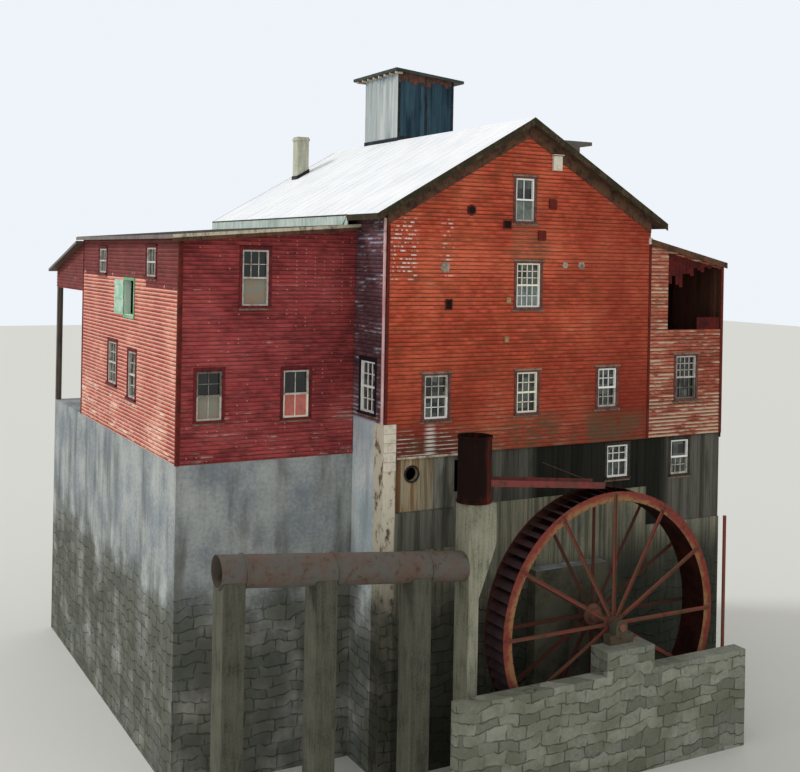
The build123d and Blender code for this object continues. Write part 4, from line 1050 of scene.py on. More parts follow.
SOLE_STEEL = rusty_paint("sole_steel", screen(34, 16, 12), screen(64, 30, 22), screen(16, 10, 9))
HUB_STEEL = rusty_paint("hub_steel", screen(112, 70, 60), screen(136, 108, 92), screen(56, 36, 32))
STANDPIPE = standpipe_paint()
PIPE_STEEL = rusty_paint("pipe_steel", screen(98, 94, 88), screen(104, 84, 72), screen(60, 58, 52), -0.02)
CAST_IRON = rusty_paint("cast_iron", screen(78, 84, 70), screen(96, 70, 54), screen(44, 44, 42))
BOLT_STEEL = rusty_paint("bolt_steel", screen(94, 62, 52), screen(120, 90, 72), screen(48, 34, 30))
CREAM_SASH = wood_trim_paint("cream_sash", screen(250, 246, 226), screen(206, 196, 168), -0.12)
WHITE_SASH = wood_trim_paint("white_sash", screen(252, 252, 248), screen(214, 210, 202), -0.14)
GREY_SASH = wood_trim_paint("grey_sash", screen(206, 202, 192), screen(146, 136, 122), -0.04)
DARK_SASH = wood_trim_paint("dark_sash", screen(136, 132, 122), screen(92, 84, 78), 0.0)
SALMON_PANEL = wood_trim_paint("salmon_panel", screen(206, 122, 112), screen(176, 100, 92), -0.02)
GREYISH_PANEL = wood_trim_paint("greyish_panel", screen(138, 142, 130), screen(160, 132, 108), 0.0)
DUSTY_PANEL = wood_trim_paint("dusty_panel", screen(134, 142, 136), screen(96, 108, 104), 0.0)
GREEN_PAINT = wood_trim_paint("green_paint", screen(150, 196, 168), screen(214, 220, 210), -0.02)
PALE_GREEN = wood_trim_paint("pale_green", screen(206, 240, 214), screen(236, 240, 226), -0.02)
GREEN_TRIM = wood_trim_paint("green_trim", screen(104, 164, 122), screen(166, 194, 164), -0.02)
PALE_BLOCK = wood_trim_paint("pale_block", screen(228, 222, 206), screen(188, 172, 150), -0.05)
TAN_BLOCK = wood_trim_paint("tan_block", screen(176, 146, 108), screen(120, 92, 66), 0.0)
GREY_PLATE = wood_trim_paint("grey_plate", screen(168, 164, 150), screen(128, 112, 98), 0.0)
RED_BLOCK = wood_trim_paint("red_block", screen(108, 40, 32), screen(74, 34, 30), 0.0)
LOFT_WOOD = wood_trim_paint("loft_wood", screen(92, 30, 26), screen(56, 22, 20), 0.0)
# A black panel that stands in for the shade inside a hole
HOLE_SHADE = wood_trim_paint("painted_shade_recess", screen(22, 18, 16), screen(34, 28, 24), 0.0)
WINDOW_GLASS = glass_paint("window_glass")

dress(SHADED_INNER_BOARDS, "front_wall", "back_wall", "right_wing_front_wall", "right_wing_end_wall", "right_wall")
dress(SHADED_INNER_BOARDS, "left_wall", "wing_front_wall", "wing_end_wall", "porch_sides")
dress(FRONT_PLANKS, "lower_boards")
dress(GREY_PLANKS, "porch_posts", "floors")
dress(RAKE_WOOD, "rake_boards")
dress(DARK_CUPOLA, "cupola_walls")
dress(ROOF_METAL, "roof_left", "roof_right")
dress(APRON_METAL, "eave_apron")
dress(GREEN_METAL, "cupola_roof")
dress(DULL_METAL, "wing_roof", "right_wing_roof", "porch_roof", "roof_hood")
dress(BOARDED_STONE, "front_foundation")
dress(LEDGE_STONE, "pit_ledge", "wall_corbel")
dress(STONE, "back_foundation", "wing_front_foundation")
dress(STONE, "wing_end_foundation", "right_wing_end_foundation", "porch_platform")
dress(BLOCK_STONE, "pit_wall")
dress(PALE_STONE, "side_foundations")
dress(CONCRETE, "pedestal")
dress(DARK_CONCRETE, "penstock_piers")
dress(RED_STEEL, "wheel_shrouds")
dress(ARM_STEEL, "wheel_spokes")
dress(FLUME_STEEL, "flume")
dress(BOLT_STEEL, "flume_stays")
dress(POST_STEEL, "steel_post")
dress(BUCKET_STEEL, "wheel_buckets")
dress(SOLE_STEEL, "wheel_sole")
dress(HUB_STEEL, "wheel_hubs", "wheel_axle")
dress(STANDPIPE, "standpipe")
dress(PIPE_STEEL, "penstock")
dress(CASING_WOOD, "window_frames")
dress(WINDOW_GLASS, "window_glass")
dress(GREEN_PAINT, "hatch_shutter")
dress(CHIMNEY_PAINT, "chimney")
dress(PINK_METAL, "downspout")
dress(CAST_IRON, "axle_bearings")


class Sash:
    """Half of a window: its columns and rows of panes, its paint, and what closes its panes."""

    def __init__(self, columns, rows, paint, panel=None):
        self.columns = columns
        self.rows = rows
        self.paint = paint
        self.panel = panel


class Window:
    """A window opening with its upper and lower sash."""

    def __init__(self, left, sill, width, height, upper, lower):
        self.left = left
        self.sill = sill
        self.width = width
        self.height = height
        self.upper = upper
        self.lower = lower
        self.right = left + width
        self.top = sill + height


CREAM_SIX = Sash(3, 2, CREAM_SASH)
GREY_SIX = Sash(3, 2, GREY_SASH)
FRONT_WINDOWS = (
    Window(1.33, 1.08, 0.81, 1.29, GREY_SIX, Sash(3, 2, WHITE_SASH)),
    Window(4.63, 1.10, 0.77, 1.26, CREAM_SIX, CREAM_SIX),
    Window(7.80, 1.14, 0.74, 1.24, Sash(3, 2, WHITE_SASH), GREY_SIX),
    Window(4.55, 4.38, 0.89, 1.37, Sash(4, 3, CREAM_SASH), Sash(4, 2, WHITE_SASH, DUSTY_PANEL)),
    Window(4.47, 7.05, 0.69, 1.33, Sash(2, 1, WHITE_SASH), Sash(2, 1, GREY_SASH, DUSTY_PANEL)),
)
FRONT_LOW_WINDOW = Window(8.27, -1.19, 0.86, 1.04, Sash(3, 2, WHITE_SASH), Sash(3, 1, WHITE_SASH))
RIGHT_WINDOW = Window(11.11, 1.25, 0.88, 1.45, Sash(4, 3, GREY_SASH), Sash(4, 2, DARK_SASH))
RIGHT_LOW_WINDOW = Window(10.99, -1.29, 0.77, 1.15, Sash(1, 1, WHITE_SASH), Sash(3, 2, GREY_SASH))
SIDE_WINDOW = Window(0.57, 1.23, 0.94, 1.52, Sash(3, 2, WHITE_SASH), Sash(3, 2, WHITE_SASH))
WING_WINDOWS = (
    Window(-5.00, 1.09, 0.76, 1.40, Sash(2, 2, DARK_SASH), Sash(2, 1, GREY_SASH, GREYISH_PANEL)),
    Window(-2.33, 1.05, 0.82, 1.40, Sash(2, 1, GREY_SASH), Sash(2, 1, CREAM_SASH, SALMON_PANEL)),
    Window(-3.68, 4.37, 0.82, 1.63, Sash(3, 2, GREY_SASH), Sash(1, 1, GREY_SASH, GREYISH_PANEL)),
)
WING_END_WINDOWS = (
    Window(6.25, 1.22, 0.88, 1.48, Sash(2, 2, GREY_SASH), Sash(2, 2, GREY_SASH)),
    Window(8.56, 1.44, 1.09, 1.40, GREY_SIX, GREY_SIX),
    Window(4.25, 5.14, 1.00, 0.88, Sash(3, 1, GREY_SASH), Sash(3, 1, GREY_SASH)),
    Window(10.10, 5.14, 1.00, 0.83, Sash(3, 1, GREY_SASH), Sash(3, 1, GREY_SASH)),
)
WINDOW_ROWS = (
    (FRONT, FRONT_WINDOWS + (RIGHT_WINDOW,)),
    (LOWER_FRONT, (FRONT_LOW_WINDOW, RIGHT_LOW_WINDOW)),
    (BACK, FRONT_WINDOWS + WING_WINDOWS[1:]),
    (WING_FRONT, WING_WINDOWS),
    (WING_END, WING_END_WINDOWS),
    (RIGHT_WING_END, WING_END_WINDOWS[:2]),
    (LEFT_SIDE, (SIDE_WINDOW,)),
)


def main_slopes(wall, drop):
    """The two cuts under the main roof, so far below its underside."""
    left = wall.slope(0, PLATE_HEIGHT - drop, ROOF_PITCH)
    return left, wall.slope(MAIN_WIDTH, PLATE_HEIGHT - drop, -ROOF_PITCH)


def front_siding():
    """The gable front's boards, notched over the corner stones."""
    holes = [window_gap(FRONT, window) for window in FRONT_WINDOWS]
    holes.append(gap(FRONT, -0.1, -0.1, CORNER_STONE_WIDTH + 0.1, CORNER_STONE_HEIGHT + 0.1))
    holes += [gap(FRONT, *vent) for vent in VENTS]
    slopes = main_slopes(FRONT, RAKE_BOARD_DEPTH)
    boards = clapboards("front_siding", FRONT, 0, MAIN_WIDTH, 0, RIDGE_HEIGHT, holes, slopes)
    finish(boards, ORANGE)


def right_wing_siding():
    """The right wing's front boards, round the open loft."""
    left, sill, width = LOFT
    opening = gap(FRONT, left, sill, width, RIGHT_ROOF_START - sill)
    under_roof = FRONT.slope(RIGHT_END, RIGHT_WALL_HEIGHT - LOFT_HEADER, -RIGHT_PITCH)
    cut(opening, *under_roof)
    holes = [window_gap(FRONT, RIGHT_WINDOW), opening]
    slopes = [FRONT.slope(RIGHT_END, RIGHT_WALL_HEIGHT, -RIGHT_PITCH)]
    boards = clapboards("right_wing_siding", FRONT, MAIN_WIDTH, RIGHT_END, 0, RIGHT_ROOF_START, holes, slopes)
    finish(boards, FADED)


def right_end_siding():
    """The right wing's outer side."""
    holes = [window_gap(RIGHT_WING_END, window) for window in WING_END_WINDOWS[:2]]
    boards = clapboards("right_end_siding", RIGHT_WING_END, 0, MAIN_LENGTH, WING_FOOT, RIGHT_WALL_HEIGHT, holes)
    finish(boards, FADED)


def right_upper_siding():
    """The strip of the main block's right side above the right wing's roof."""
    foot = RIGHT_ROOF_START + ROOF_CLEARANCE
    boards = clapboards("right_upper_siding", RIGHT_SIDE, 0, MAIN_LENGTH, foot, PLATE_HEIGHT - EAVE_CLEARANCE)
    finish(boards, ORANGE)


def wing_front_siding():
    """The left wing's front boards."""
    holes = [window_gap(WING_FRONT, window) for window in WING_WINDOWS]
    slopes = [WING_FRONT.slope(WING_LEFT, WING_WALL_HEIGHT, WING_PITCH)]
    boards = clapboards("wing_front_siding", WING_FRONT, WING_LEFT, -BOARD_OUT, WING_FOOT, WING_ROOF_START, holes, slopes)
    finish(boards, CRIMSON)


def wing_end_siding():
    """The left wing's outer side, round the hatch and its shutter."""
    holes = [window_gap(WING_END, window) for window in WING_END_WINDOWS]
    holes.append(gap(WING_END, HATCH[0], HATCH[1], HATCH[2] + SHUTTER[2], HATCH[3]))
    boards = clapboards("wing_end_siding", WING_END, WING_SETBACK, MAIN_LENGTH, WING_FOOT, WING_WALL_HEIGHT, holes)
    finish(boards, BLEACHED)


def left_siding():
    """The short side of the main block between its front and the left wing."""
    holes = [window_gap(LEFT_SIDE, SIDE_WINDOW)]
    holes.append(gap(LEFT_SIDE, WING_SETBACK - WING_OVERHANG, WING_ROOF_START, WING_OVERHANG * 2, ROOF_CLEARANCE))
    top = PLATE_HEIGHT - EAVE_CLEARANCE
    boards = clapboards("left_siding", LEFT_SIDE, DOWNSPOUT_WIDTH, WING_SETBACK, CORNER_STONE_HEIGHT, top, holes)
    # Painted shade: this side's boards take the shaded purple paint
    finish(boards, SHADED_PURPLE)


def back_siding():
    """The back of the main block and of both wings."""
    main_holes = [window_gap(BACK, window) for window in FRONT_WINDOWS]
    slopes = main_slopes(BACK, 0)
    main = clapboards("back_siding", BACK, 0, MAIN_WIDTH, WING_FOOT, RIDGE_HEIGHT, main_holes, slopes)
    wing_holes = [window_gap(BACK, window) for window in WING_WINDOWS[1:]]
    wing_holes.append(gap(BACK, *PORCH_DOOR))
    wing_holes.append(gap(BACK, WING_LEFT, PORCH_TOP, -WING_LEFT, ROOF_CLEARANCE))
    wing_slopes = [BACK.slope(WING_LEFT, WING_WALL_HEIGHT, WING_PITCH)]
    wing = clapboards("wing_back", BACK, WING_LEFT, 0, WING_FOOT, WING_ROOF_START, wing_holes, wing_slopes)
    right_slopes = [BACK.slope(RIGHT_END, RIGHT_WALL_HEIGHT, -RIGHT_PITCH)]
    right = clapboards("right_back", BACK, MAIN_WIDTH, RIGHT_END, WING_FOOT, RIGHT_ROOF_START, (), right_slopes)
    finish(join("back_siding", [main, wing, right]), ORANGE)


def porch_gable_siding():
    """The boards over the porch's open left end."""
    slopes = [WING_END.slope(MAIN_LENGTH, PORCH_TOP, -PORCH_PITCH)]
    boards = clapboards("porch_gable_siding", WING_END, MAIN_LENGTH, PORCH_BACK, PORCH_BEAM_HEIGHT, PORCH_TOP, (), slopes)
    finish(boards, BLEACHED)


def corner_boards():
    """Narrow upright boards that close the ends of the siding."""
    out = BOARD_OUT * 1.3
    wide = CORNER_BOARD_WIDTH
    top = RIGHT_WALL_HEIGHT
    red = [
        block("corner", FRONT.point(MAIN_WIDTH - wide / 2, 0, 0), FRONT.point(MAIN_WIDTH + wide / 2, out, RIGHT_ROOF_START)),
        block("corner", FRONT.point(RIGHT_END - wide, 0, 0), FRONT.point(RIGHT_END + BOARD_OUT, out, top)),
        block("corner", RIGHT_WING_END.point(0, 0, WING_FOOT), RIGHT_WING_END.point(wide, out, top)),
        block("corner", FRONT.point(0, 0, CORNER_STONE_HEIGHT), FRONT.point(wide, out, PLATE_HEIGHT - RAKE_BOARD_DEPTH)),
    ]
    finish(join("front_corner_boards", red), RED_BLOCK)
    top = WING_WALL_HEIGHT
    left = [
        block("corner", WING_FRONT.point(WING_LEFT - BOARD_OUT, 0, WING_FOOT), WING_FRONT.point(WING_LEFT + wide, out, top)),
        block("corner", WING_END.point(WING_SETBACK, 0, WING_FOOT), WING_END.point(WING_SETBACK + wide, out, top)),
        block("corner", WING_END.point(MAIN_LENGTH - wide, 0, WING_FOOT), WING_END.point(MAIN_LENGTH, out, top)),
    ]
    finish(join("wing_corner_boards", left), RED_BLOCK)


def front_planks():
    """The weathered boards between the gable's siding and the stone."""
    pipe = block("cutter", spot(0.78, -0.2, -0.72), spot(1.18, 0.3, -0.32))
    holes = [window_gap(LOWER_FRONT, FRONT_LOW_WINDOW), pipe, gap(LOWER_FRONT, *SHAFT_OPENING)]
    start = CORNER_STONE_WIDTH
    upper = upright_boards("planks", LOWER_FRONT, start, MAIN_WIDTH, -1.6, -0.01, PLANK_OUT, 5, holes)
    lower = upright_boards("planks", LOWER_FRONT, start, 2.45, -2.8, -1.66, PLANK_OUT, 6)
    holes = [window_gap(LOWER_FRONT, RIGHT_LOW_WINDOW)]
    right = upright_boards("planks", LOWER_FRONT, MAIN_WIDTH, RIGHT_END, -2.88, -0.01, PLANK_OUT, 7, holes)
    finish(join("front_planks", [upper, lower, right]), FRONT_PLANKS)


def sash_pieces(wall, window, sash, bottom, top):
    """The stiles, rails and bars of one sash, and the panel behind its panes."""
    start = window.left
    end = window.right
    face = SASH_PROUD
    back = -GLASS_SETBACK
    side = FRAME_FACE + SASH_LAP
    pieces = [
        block("stile", wall.point(start, back, bottom), wall.point(start + side, face, top)),
        block("stile", wall.point(end - side, back, bottom), wall.point(end, face, top)),
        block("rail", wall.point(start + side, back, bottom), wall.point(end - side, face, bottom + side)),
        block("rail", wall.point(start + side, back, top - side), wall.point(end - side, face, top)),
    ]
    left = start + side
    low = bottom + side
    wide = (end - side - left) / sash.columns
    high = (top - side - low) / sash.rows
    half = BAR_WIDTH / 2
    front = BAR_DEPTH - GLASS_SETBACK
    for n in range(1, sash.columns):
        x = left + n * wide
        pieces.append(block("bar", wall.point(x - half, back, low), wall.point(x + half, front, top - side)))
    for n in range(1, sash.rows):
        z = low + n * high
        pieces.append(block("bar", wall.point(left, back, z - half), wall.point(end - side, front, z + half)))
    panels = []
    if sash.panel:
        panels.append(block("panel", wall.point(left, back, low), wall.point(end - side, back + PANEL_DEPTH, top - side)))
    return pieces, panels


def sashes():
    """The sashes of every window, joined by the paint that they have."""
    by_paint = {}
    for wall, windows in WINDOW_ROWS:
        for window in windows:
            middle = window.sill + window.height / 2
            half = FRAME_FACE / 2
            spans = ((window.upper, middle - half, window.top), (window.lower, window.sill, middle + half))
            low = wall.point(window.left, 0, middle - half)
            rail = block("meeting_rail", low, wall.point(window.right, SASH_PROUD * 2, middle + half))
            by_paint.setdefault(window.upper.paint, []).append(rail)
            for sash, bottom, top in spans:
                pieces, panels = sash_pieces(wall, window, sash, bottom, top)
                by_paint.setdefault(sash.paint, []).extend(pieces)
                if panels:
                    by_paint.setdefault(sash.panel, []).extend(panels)
    for paint, pieces in by_paint.items():
        finish(join(paint.name + "_pieces", pieces), paint)


def head_boards():
    """The weathered boards over and under every window."""
    by_paint = {HEAD_WOOD: [], CASING_WOOD: []}
    for wall, windows in WINDOW_ROWS:
        plain = wall in (WING_FRONT, WING_END, LEFT_SIDE, LOWER_FRONT)
        boards = by_paint[CASING_WOOD if plain else HEAD_WOOD]
        reach = 0 if plain else HEAD_REACH
        for window in windows:
            left = window.left - CASING_WIDTH - reach
            right = window.right + CASING_WIDTH + reach
            foot = window.top + CASING_WIDTH - HEAD_DEPTH / 2
            head = block("head", wall.point(left, 0, foot), wall.point(right, HEAD_OUT, foot + HEAD_DEPTH))
            outer = wall.point(left, HEAD_OUT / 2, foot + HEAD_DEPTH / 2)
            pick(head, lambda corner: corner.z > outer.z and (corner - outer).dot(wall.normal) > 0)
            bpy.ops.transform.translate(value=(0, 0, -HEAD_DEPTH / 3))
            done()
            low = window.sill - SILL_HEIGHT
            apron = block("apron", wall.point(left, 0, low - APRON_DEPTH), wall.point(right, HEAD_OUT * 0.8, low))
            boards.append(head)
            by_paint[HEAD_WOOD].append(apron)
    for paint, boards in by_paint.items():
        finish(join(paint.name + "_window_boards", boards), paint)


MAIN_SLOPES = ((-EAVE_OVERHANG, 0, ROOF_PITCH), (MAIN_WIDTH + EAVE_OVERHANG, MAIN_WIDTH, -ROOF_PITCH))


def verge_boards():
    """The mossy boards that close the front and back edges of the main roof."""
    boards = []
    for near in (-RAKE_OVERHANG - VERGE_THICKNESS, ROOF_BACK):
        for edge, wall_edge, pitch in MAIN_SLOPES:
            low = spot(edge, near, PLATE_HEIGHT - 1)
            high = spot(RIDGE_X, near + VERGE_THICKNESS, RIDGE_HEIGHT + 1)
            start = spot(wall_edge, 0, PLATE_HEIGHT)
            boards.append(sloped("verge", low, high, start, pitch, -VERGE_DROP, ROOF_THICKNESS + 0.006))
    finish(join("verge_boards", boards), MOSSY_WOOD)
    eave = PLATE_HEIGHT - EAVE_OVERHANG * PITCH_RISE
    top = eave + ROOF_THICKNESS / math.cos(ROOF_PITCH)
    out = -EAVE_OVERHANG - VERGE_THICKNESS
    front = block("eave", spot(out, -RAKE_OVERHANG, eave - 0.02), spot(-EAVE_OVERHANG, WING_ROOF_FRONT, top))
    line = block("eave", spot(out - 0.01, WING_ROOF_FRONT, top - 0.03), spot(-EAVE_OVERHANG, ROOF_BACK, top + 0.01))
    finish(join("eave_boards", [front, line]), MOSSY_WOOD)
    strip = block("strip", spot(out, WING_ROOF_FRONT + 0.02, eave - 0.14), spot(-EAVE_OVERHANG, ROOF_BACK, top - 0.03))
    corner = spot(out, WING_ROOF_FRONT + 0.02, top - 0.03)
    cut(strip, corner, Vector((0, -1, -1)))
    finish(strip, APRON_METAL)


def roof_seams():
    """Standing seams down every metal roof, and the cap over the ridge."""
    ribs = []
    count = math.floor((ROOF_BACK + RAKE_OVERHANG) / SEAM_SPACING)
    for edge, wall_edge, pitch in MAIN_SLOPES:
        start = spot(wall_edge, 0, PLATE_HEIGHT)
        low = spot(edge, 0, PLATE_HEIGHT - 1)
        high = spot(RIDGE_X, SEAM_WIDTH, RIDGE_HEIGHT + 1)
        rib = sloped("rib", low, high, start, pitch, ROOF_THICKNESS - 0.005, ROOF_THICKNESS + LOW_SEAM_HEIGHT)
        ribs.append(repeat(rib, count, (0, SEAM_SPACING, 0)))
        reach = math.copysign(0.16, wall_edge - RIDGE_X)
        low = spot(RIDGE_X + reach, -RAKE_OVERHANG, PLATE_HEIGHT)
        high = spot(RIDGE_X, ROOF_BACK, RIDGE_HEIGHT + 1)
        top = ROOF_THICKNESS + SEAM_HEIGHT
        ribs.append(sloped("ridge", low, high, start, pitch, ROOF_THICKNESS - 0.005, top + 0.006))
    finish(join("main_roof_seams", ribs), ROOF_METAL)
    left = sloped(
        "rib",
        spot(WING_LEFT - WING_OVERHANG, WING_ROOF_FRONT + SEAM_SPACING, WING_WALL_HEIGHT - 1),
        spot(-0.01, WING_ROOF_FRONT + SEAM_SPACING + SEAM_WIDTH, WING_WALL_HEIGHT + 2),
        spot(WING_LEFT, 0, WING_WALL_HEIGHT),
        WING_PITCH,
        LOW_ROOF_DEPTH - 0.008,
        LOW_ROOF_DEPTH + SEAM_HEIGHT,
    )
    left = repeat(left, math.floor((MAIN_LENGTH - WING_ROOF_FRONT) / SEAM_SPACING), (0, SEAM_SPACING, 0))
    right = sloped(
        "rib",
        spot(MAIN_WIDTH + 0.01, RIGHT_ROOF_FRONT + SEAM_SPACING, RIGHT_WALL_HEIGHT - 1),
        spot(RIGHT_ROOF_END, RIGHT_ROOF_FRONT + SEAM_SPACING + SEAM_WIDTH, RIGHT_WALL_HEIGHT + 2),
        spot(RIGHT_END, 0, RIGHT_WALL_HEIGHT),
        -RIGHT_PITCH,
        LOW_ROOF_DEPTH - 0.008,
        LOW_ROOF_DEPTH + SEAM_HEIGHT,
    )
    right = repeat(right, math.floor((MAIN_LENGTH - RIGHT_ROOF_FRONT) / SEAM_SPACING), (0, SEAM_SPACING, 0))
    finish(join("wing_roof_seams", [left, right]), DULL_METAL)


def wing_fascias():
    """The boards along the front edges of the wing roofs, the left one pale on top."""
    left = WING_LEFT - WING_OVERHANG
    near = WING_ROOF_FRONT - VERGE_THICKNESS
    low = spot(left, near, WING_WALL_HEIGHT - 1)
    high = spot(-0.01, WING_ROOF_FRONT, WING_WALL_HEIGHT + 2)
    start = spot(WING_LEFT, 0, WING_WALL_HEIGHT)
    finish(sloped("wing_fascia", low, high, start, WING_PITCH, 0.02, LOW_ROOF_DEPTH + 0.004), PALE_WOOD)
    lower = sloped("fascia", low, high, start, WING_PITCH, -0.09, 0.02)
    near = RIGHT_ROOF_FRONT - VERGE_THICKNESS
    low = spot(MAIN_WIDTH, near, RIGHT_WALL_HEIGHT - 1)
    high = spot(RIGHT_ROOF_END, RIGHT_ROOF_FRONT, RIGHT_WALL_HEIGHT + 2)
    start = spot(RIGHT_END, 0, RIGHT_WALL_HEIGHT)
    right = sloped("fascia", low, high, start, -RIGHT_PITCH, -0.08, LOW_ROOF_DEPTH)
    finish(join("lower_fascias", [lower, right]), RAKE_WOOD)


def cupola_boards():
    """Upright boards on the cupola's faces, its battens, ragged eave boards, dark strips at its foot and rafter ends.
    """
    left, right, front, back = CUPOLA
    faces = (
        (Wall("x", front, -1), left, right, DARK_CUPOLA, "front"),
        (Wall("x", back, 1), left, right, DARK_CUPOLA, "back"),
        (Wall("y", left, -1), front, back, SUNLIT_PALE_CUPOLA, "left"),
        (Wall("y", right, 1), front, back, DARK_CUPOLA, "right"),
    )
    start = spot(left, 0, CUPOLA_TOP)
    under = Vector((math.sin(CUPOLA_PITCH), 0, math.cos(CUPOLA_PITCH)))
    foot = RIDGE_HEIGHT - (right - left) * PITCH_RISE
    for seed, (wall, begin, end, paint, name) in enumerate(faces):
        boards = upright_boards("boards", wall, begin, end, foot, CUPOLA_TOP + 0.1, 0.02, seed, width=0.24)
        cut(boards, start, under)
        finish(boards, paint).name = "cupola_boards_" + name
    wall = faces[0][0]
    middle = (left + right) / 2
    battens = [
        block("batten", wall.point(x, 0, foot), wall.point(x + 0.1, 0.035, CUPOLA_TOP))
        for x in (left - 0.02, middle - 0.05, right - 0.08)
    ]
    # Dark strips along the foot of the cupola's left and front faces
    battens.append(block("flashing", spot(left - 0.04, front - 0.04, RIDGE_HEIGHT), spot(left, back, RIDGE_HEIGHT + 0.3)))
    battens.append(block("flashing", spot(left, front - 0.04, foot), spot(right, front - 0.02, RIDGE_HEIGHT + 0.36)))
    trim = join("cupola_trim", battens)
    cut(trim, start, under)
    finish(trim, CUPOLA_TRIM)
    eave = upright_boards("eave", wall, left, right, CUPOLA_TOP - 0.5, CUPOLA_TOP, 0.045, 11, width=0.2, ragged=0.24)
    cut(eave, start, under)
    finish(eave, RUSTY_BOARDS).name = "cupola_eave_boards"
    gap_between = (back - front + 0.5) / (TAIL_COUNT - 1)
    tails = []
    for n in range(TAIL_COUNT):
        y = front - 0.1 + n * gap_between
        z = CUPOLA_TOP - TAIL_RADIUS
        tails.append(rod("tail", spot(CUPOLA_ROOF_LEFT, y, z), spot(left + 0.1, y, z), TAIL_RADIUS))
    finish(join("cupola_rafter_ends", tails), PALE_WOOD)


def chimney_details():
    """The chimney's wider cap and the black flashing round its foot."""
    x, y, wide = CHIMNEY
    half = wide / 2 + 0.03
    cap = block("chimney_cap", spot(x - half, y - half, CHIMNEY_TOP - 0.16), spot(x + half, y + half, CHIMNEY_TOP - 0.05))
    apply(cap, "BEVEL", width=0.015, segments=2)
    finish(cap, CHIMNEY_PAINT)
    foot = PLATE_HEIGHT + x * PITCH_RISE
    skirt = block("chimney_flashing", spot(x - half, y - half, foot - 0.3), spot(x + half, y + half, foot + 1))
    up = Vector((-math.sin(ROOF_PITCH), 0, math.cos(ROOF_PITCH)))
    cut(skirt, spot(x, y, foot) + up * (ROOF_THICKNESS + 0.12), up)
    finish(skirt, BLACK_METAL)


def gable_fittings():
    """Vents, boxes, anchor plates and the lamp on the gable front."""
    frames = []
    recesses = []
    for left, sill, width, height in VENTS:
        right = left + width
        top = sill + height
        edge = 0.03
        # The vents' holes are black panels at the wall face: painted shade
        recesses.append(block("recess", FRONT.point(left, 0, sill), FRONT.point(right, 0.006, top)))
        frames += [
            block("edge", FRONT.point(left, 0, sill), FRONT.point(left + edge, 0.035, top)),
            block("edge", FRONT.point(right - edge, 0, sill), FRONT.point(right, 0.035, top)),
            block("edge", FRONT.point(left, 0, sill), FRONT.point(right, 0.04, sill + edge)),
            block("edge", FRONT.point(left, 0, top - edge), FRONT.point(right, 0.04, top)),
        ]
    x, z, radius = ROUND_VENT
    recesses.append(rod("recess", FRONT.point(x, 0, z), FRONT.point(x, 0.052, z), radius - 0.03, 16))
    frames.append(rod("collar", FRONT.point(x, 0, z), FRONT.point(x, 0.05, z), radius, 16))
    finish(join("vent_recesses", recesses), HOLE_SHADE)
    for left, sill, width, height in RED_BOXES:
        frames.append(fitted_box(left, sill, width, height, 0.07))
    finish(join("vent_frames", frames), RED_BLOCK)
    tan = [fitted_box(left, sill, 0.15, 0.2, 0.06) for left, sill in TAN_BOXES]
    finish(join("tan_boxes", tan), TAN_BLOCK)
    plates = []
    for x, z, radius in ANCHOR_PLATES:
        plates.append(rod("plate", FRONT.point(x, 0.0, z), FRONT.point(x, 0.045, z), radius, 24))
        plates.append(rod("nut", FRONT.point(x, 0.04, z), FRONT.point(x, 0.075, z), 0.03, 6))
    finish(join("anchor_plates", plates), GREY_PLATE)
    lamp = fitted_box(*LAMP, 0.1)
    hood = block("hood", FRONT.point(LAMP[0] - 0.03, 0, LAMP[1] + LAMP[3]), FRONT.point(LAMP[0] + LAMP[2] + 0.03, 0.15, LAMP[1] + LAMP[3] + 0.02))
    bulb = rod("bulb", FRONT.point(6.0, 0.06, 8.78), FRONT.point(6.0, 0.15, 8.78), 0.07, 16)
    finish(join("gable_lamp", [lamp, hood, bulb]), PALE_BLOCK)
    block_out = 0.06
    eave_block = block("eave_block", FRONT.point(9.82, 0, 6.44), FRONT.point(9.96, block_out, 6.66))
    apply(eave_block, "BEVEL", width=0.01, segments=1)
    finish(eave_block, PALE_BLOCK)
    x, z, radius = PIPE_HOLE
    bpy.ops.object.select_all(action="DESELECT")
    bpy.ops.mesh.primitive_torus_add(
        major_segments=32,
        minor_segments=6,
        major_radius=radius + 0.03,
        minor_radius=0.035,
        location=LOWER_FRONT.point(x, PLANK_OUT, z),
        rotation=(math.pi / 2, 0, 0),
    )
    bpy.ops.object.transform_apply(location=True, rotation=True, scale=True)
    rim = bpy.context.object
    rim.name = "pipe_rim"
    finish(rim, BLACK_METAL)
    trim = block("foot_trim", FRONT.point(CORNER_STONE_WIDTH + 0.03, 0, -0.055), FRONT.point(2.58, 0.035, 0.005))
    finish(trim, PALE_WOOD)


def fitted_box(left, sill, width, height, out):
    """A small box on the gable, its top sloping forward and its edges eased."""
    box = block("box", FRONT.point(left, 0, sill), FRONT.point(left + width, out, sill + height))
    outer = FRONT.point(left, out / 2, sill + height / 2)
    pick(box, lambda corner: corner.z > outer.z and corner.y < outer.y)
    bpy.ops.transform.translate(value=(0, 0, -0.03))
    done()
    apply(box, "BEVEL", width=0.006, segments=1)
    return box


def quoins():
    """The cream stones that stand at the front left corner."""
    stones = []
    foot = CORNER_STONE_HEIGHT
    while foot > QUOIN_FOOT:
        foot -= QUOIN_HEIGHT
        low = FRONT.point(0.0, 0, foot + 0.008)
        stone = block("quoin", low, FRONT.point(CORNER_STONE_WIDTH - 0.01, QUOIN_OUT, foot + QUOIN_HEIGHT - 0.008))
        outer = FRONT.point(0, QUOIN_OUT / 2, foot + QUOIN_HEIGHT / 2)
        pick(stone, lambda corner: corner.z > outer.z and corner.y < outer.y)
        bpy.ops.transform.translate(value=(0, 0.018, 0))
        done()
        apply(stone, "BEVEL", width=0.006, segments=1)
        stones.append(stone)
    finish(join("quoins", stones), CREAM_STONE)


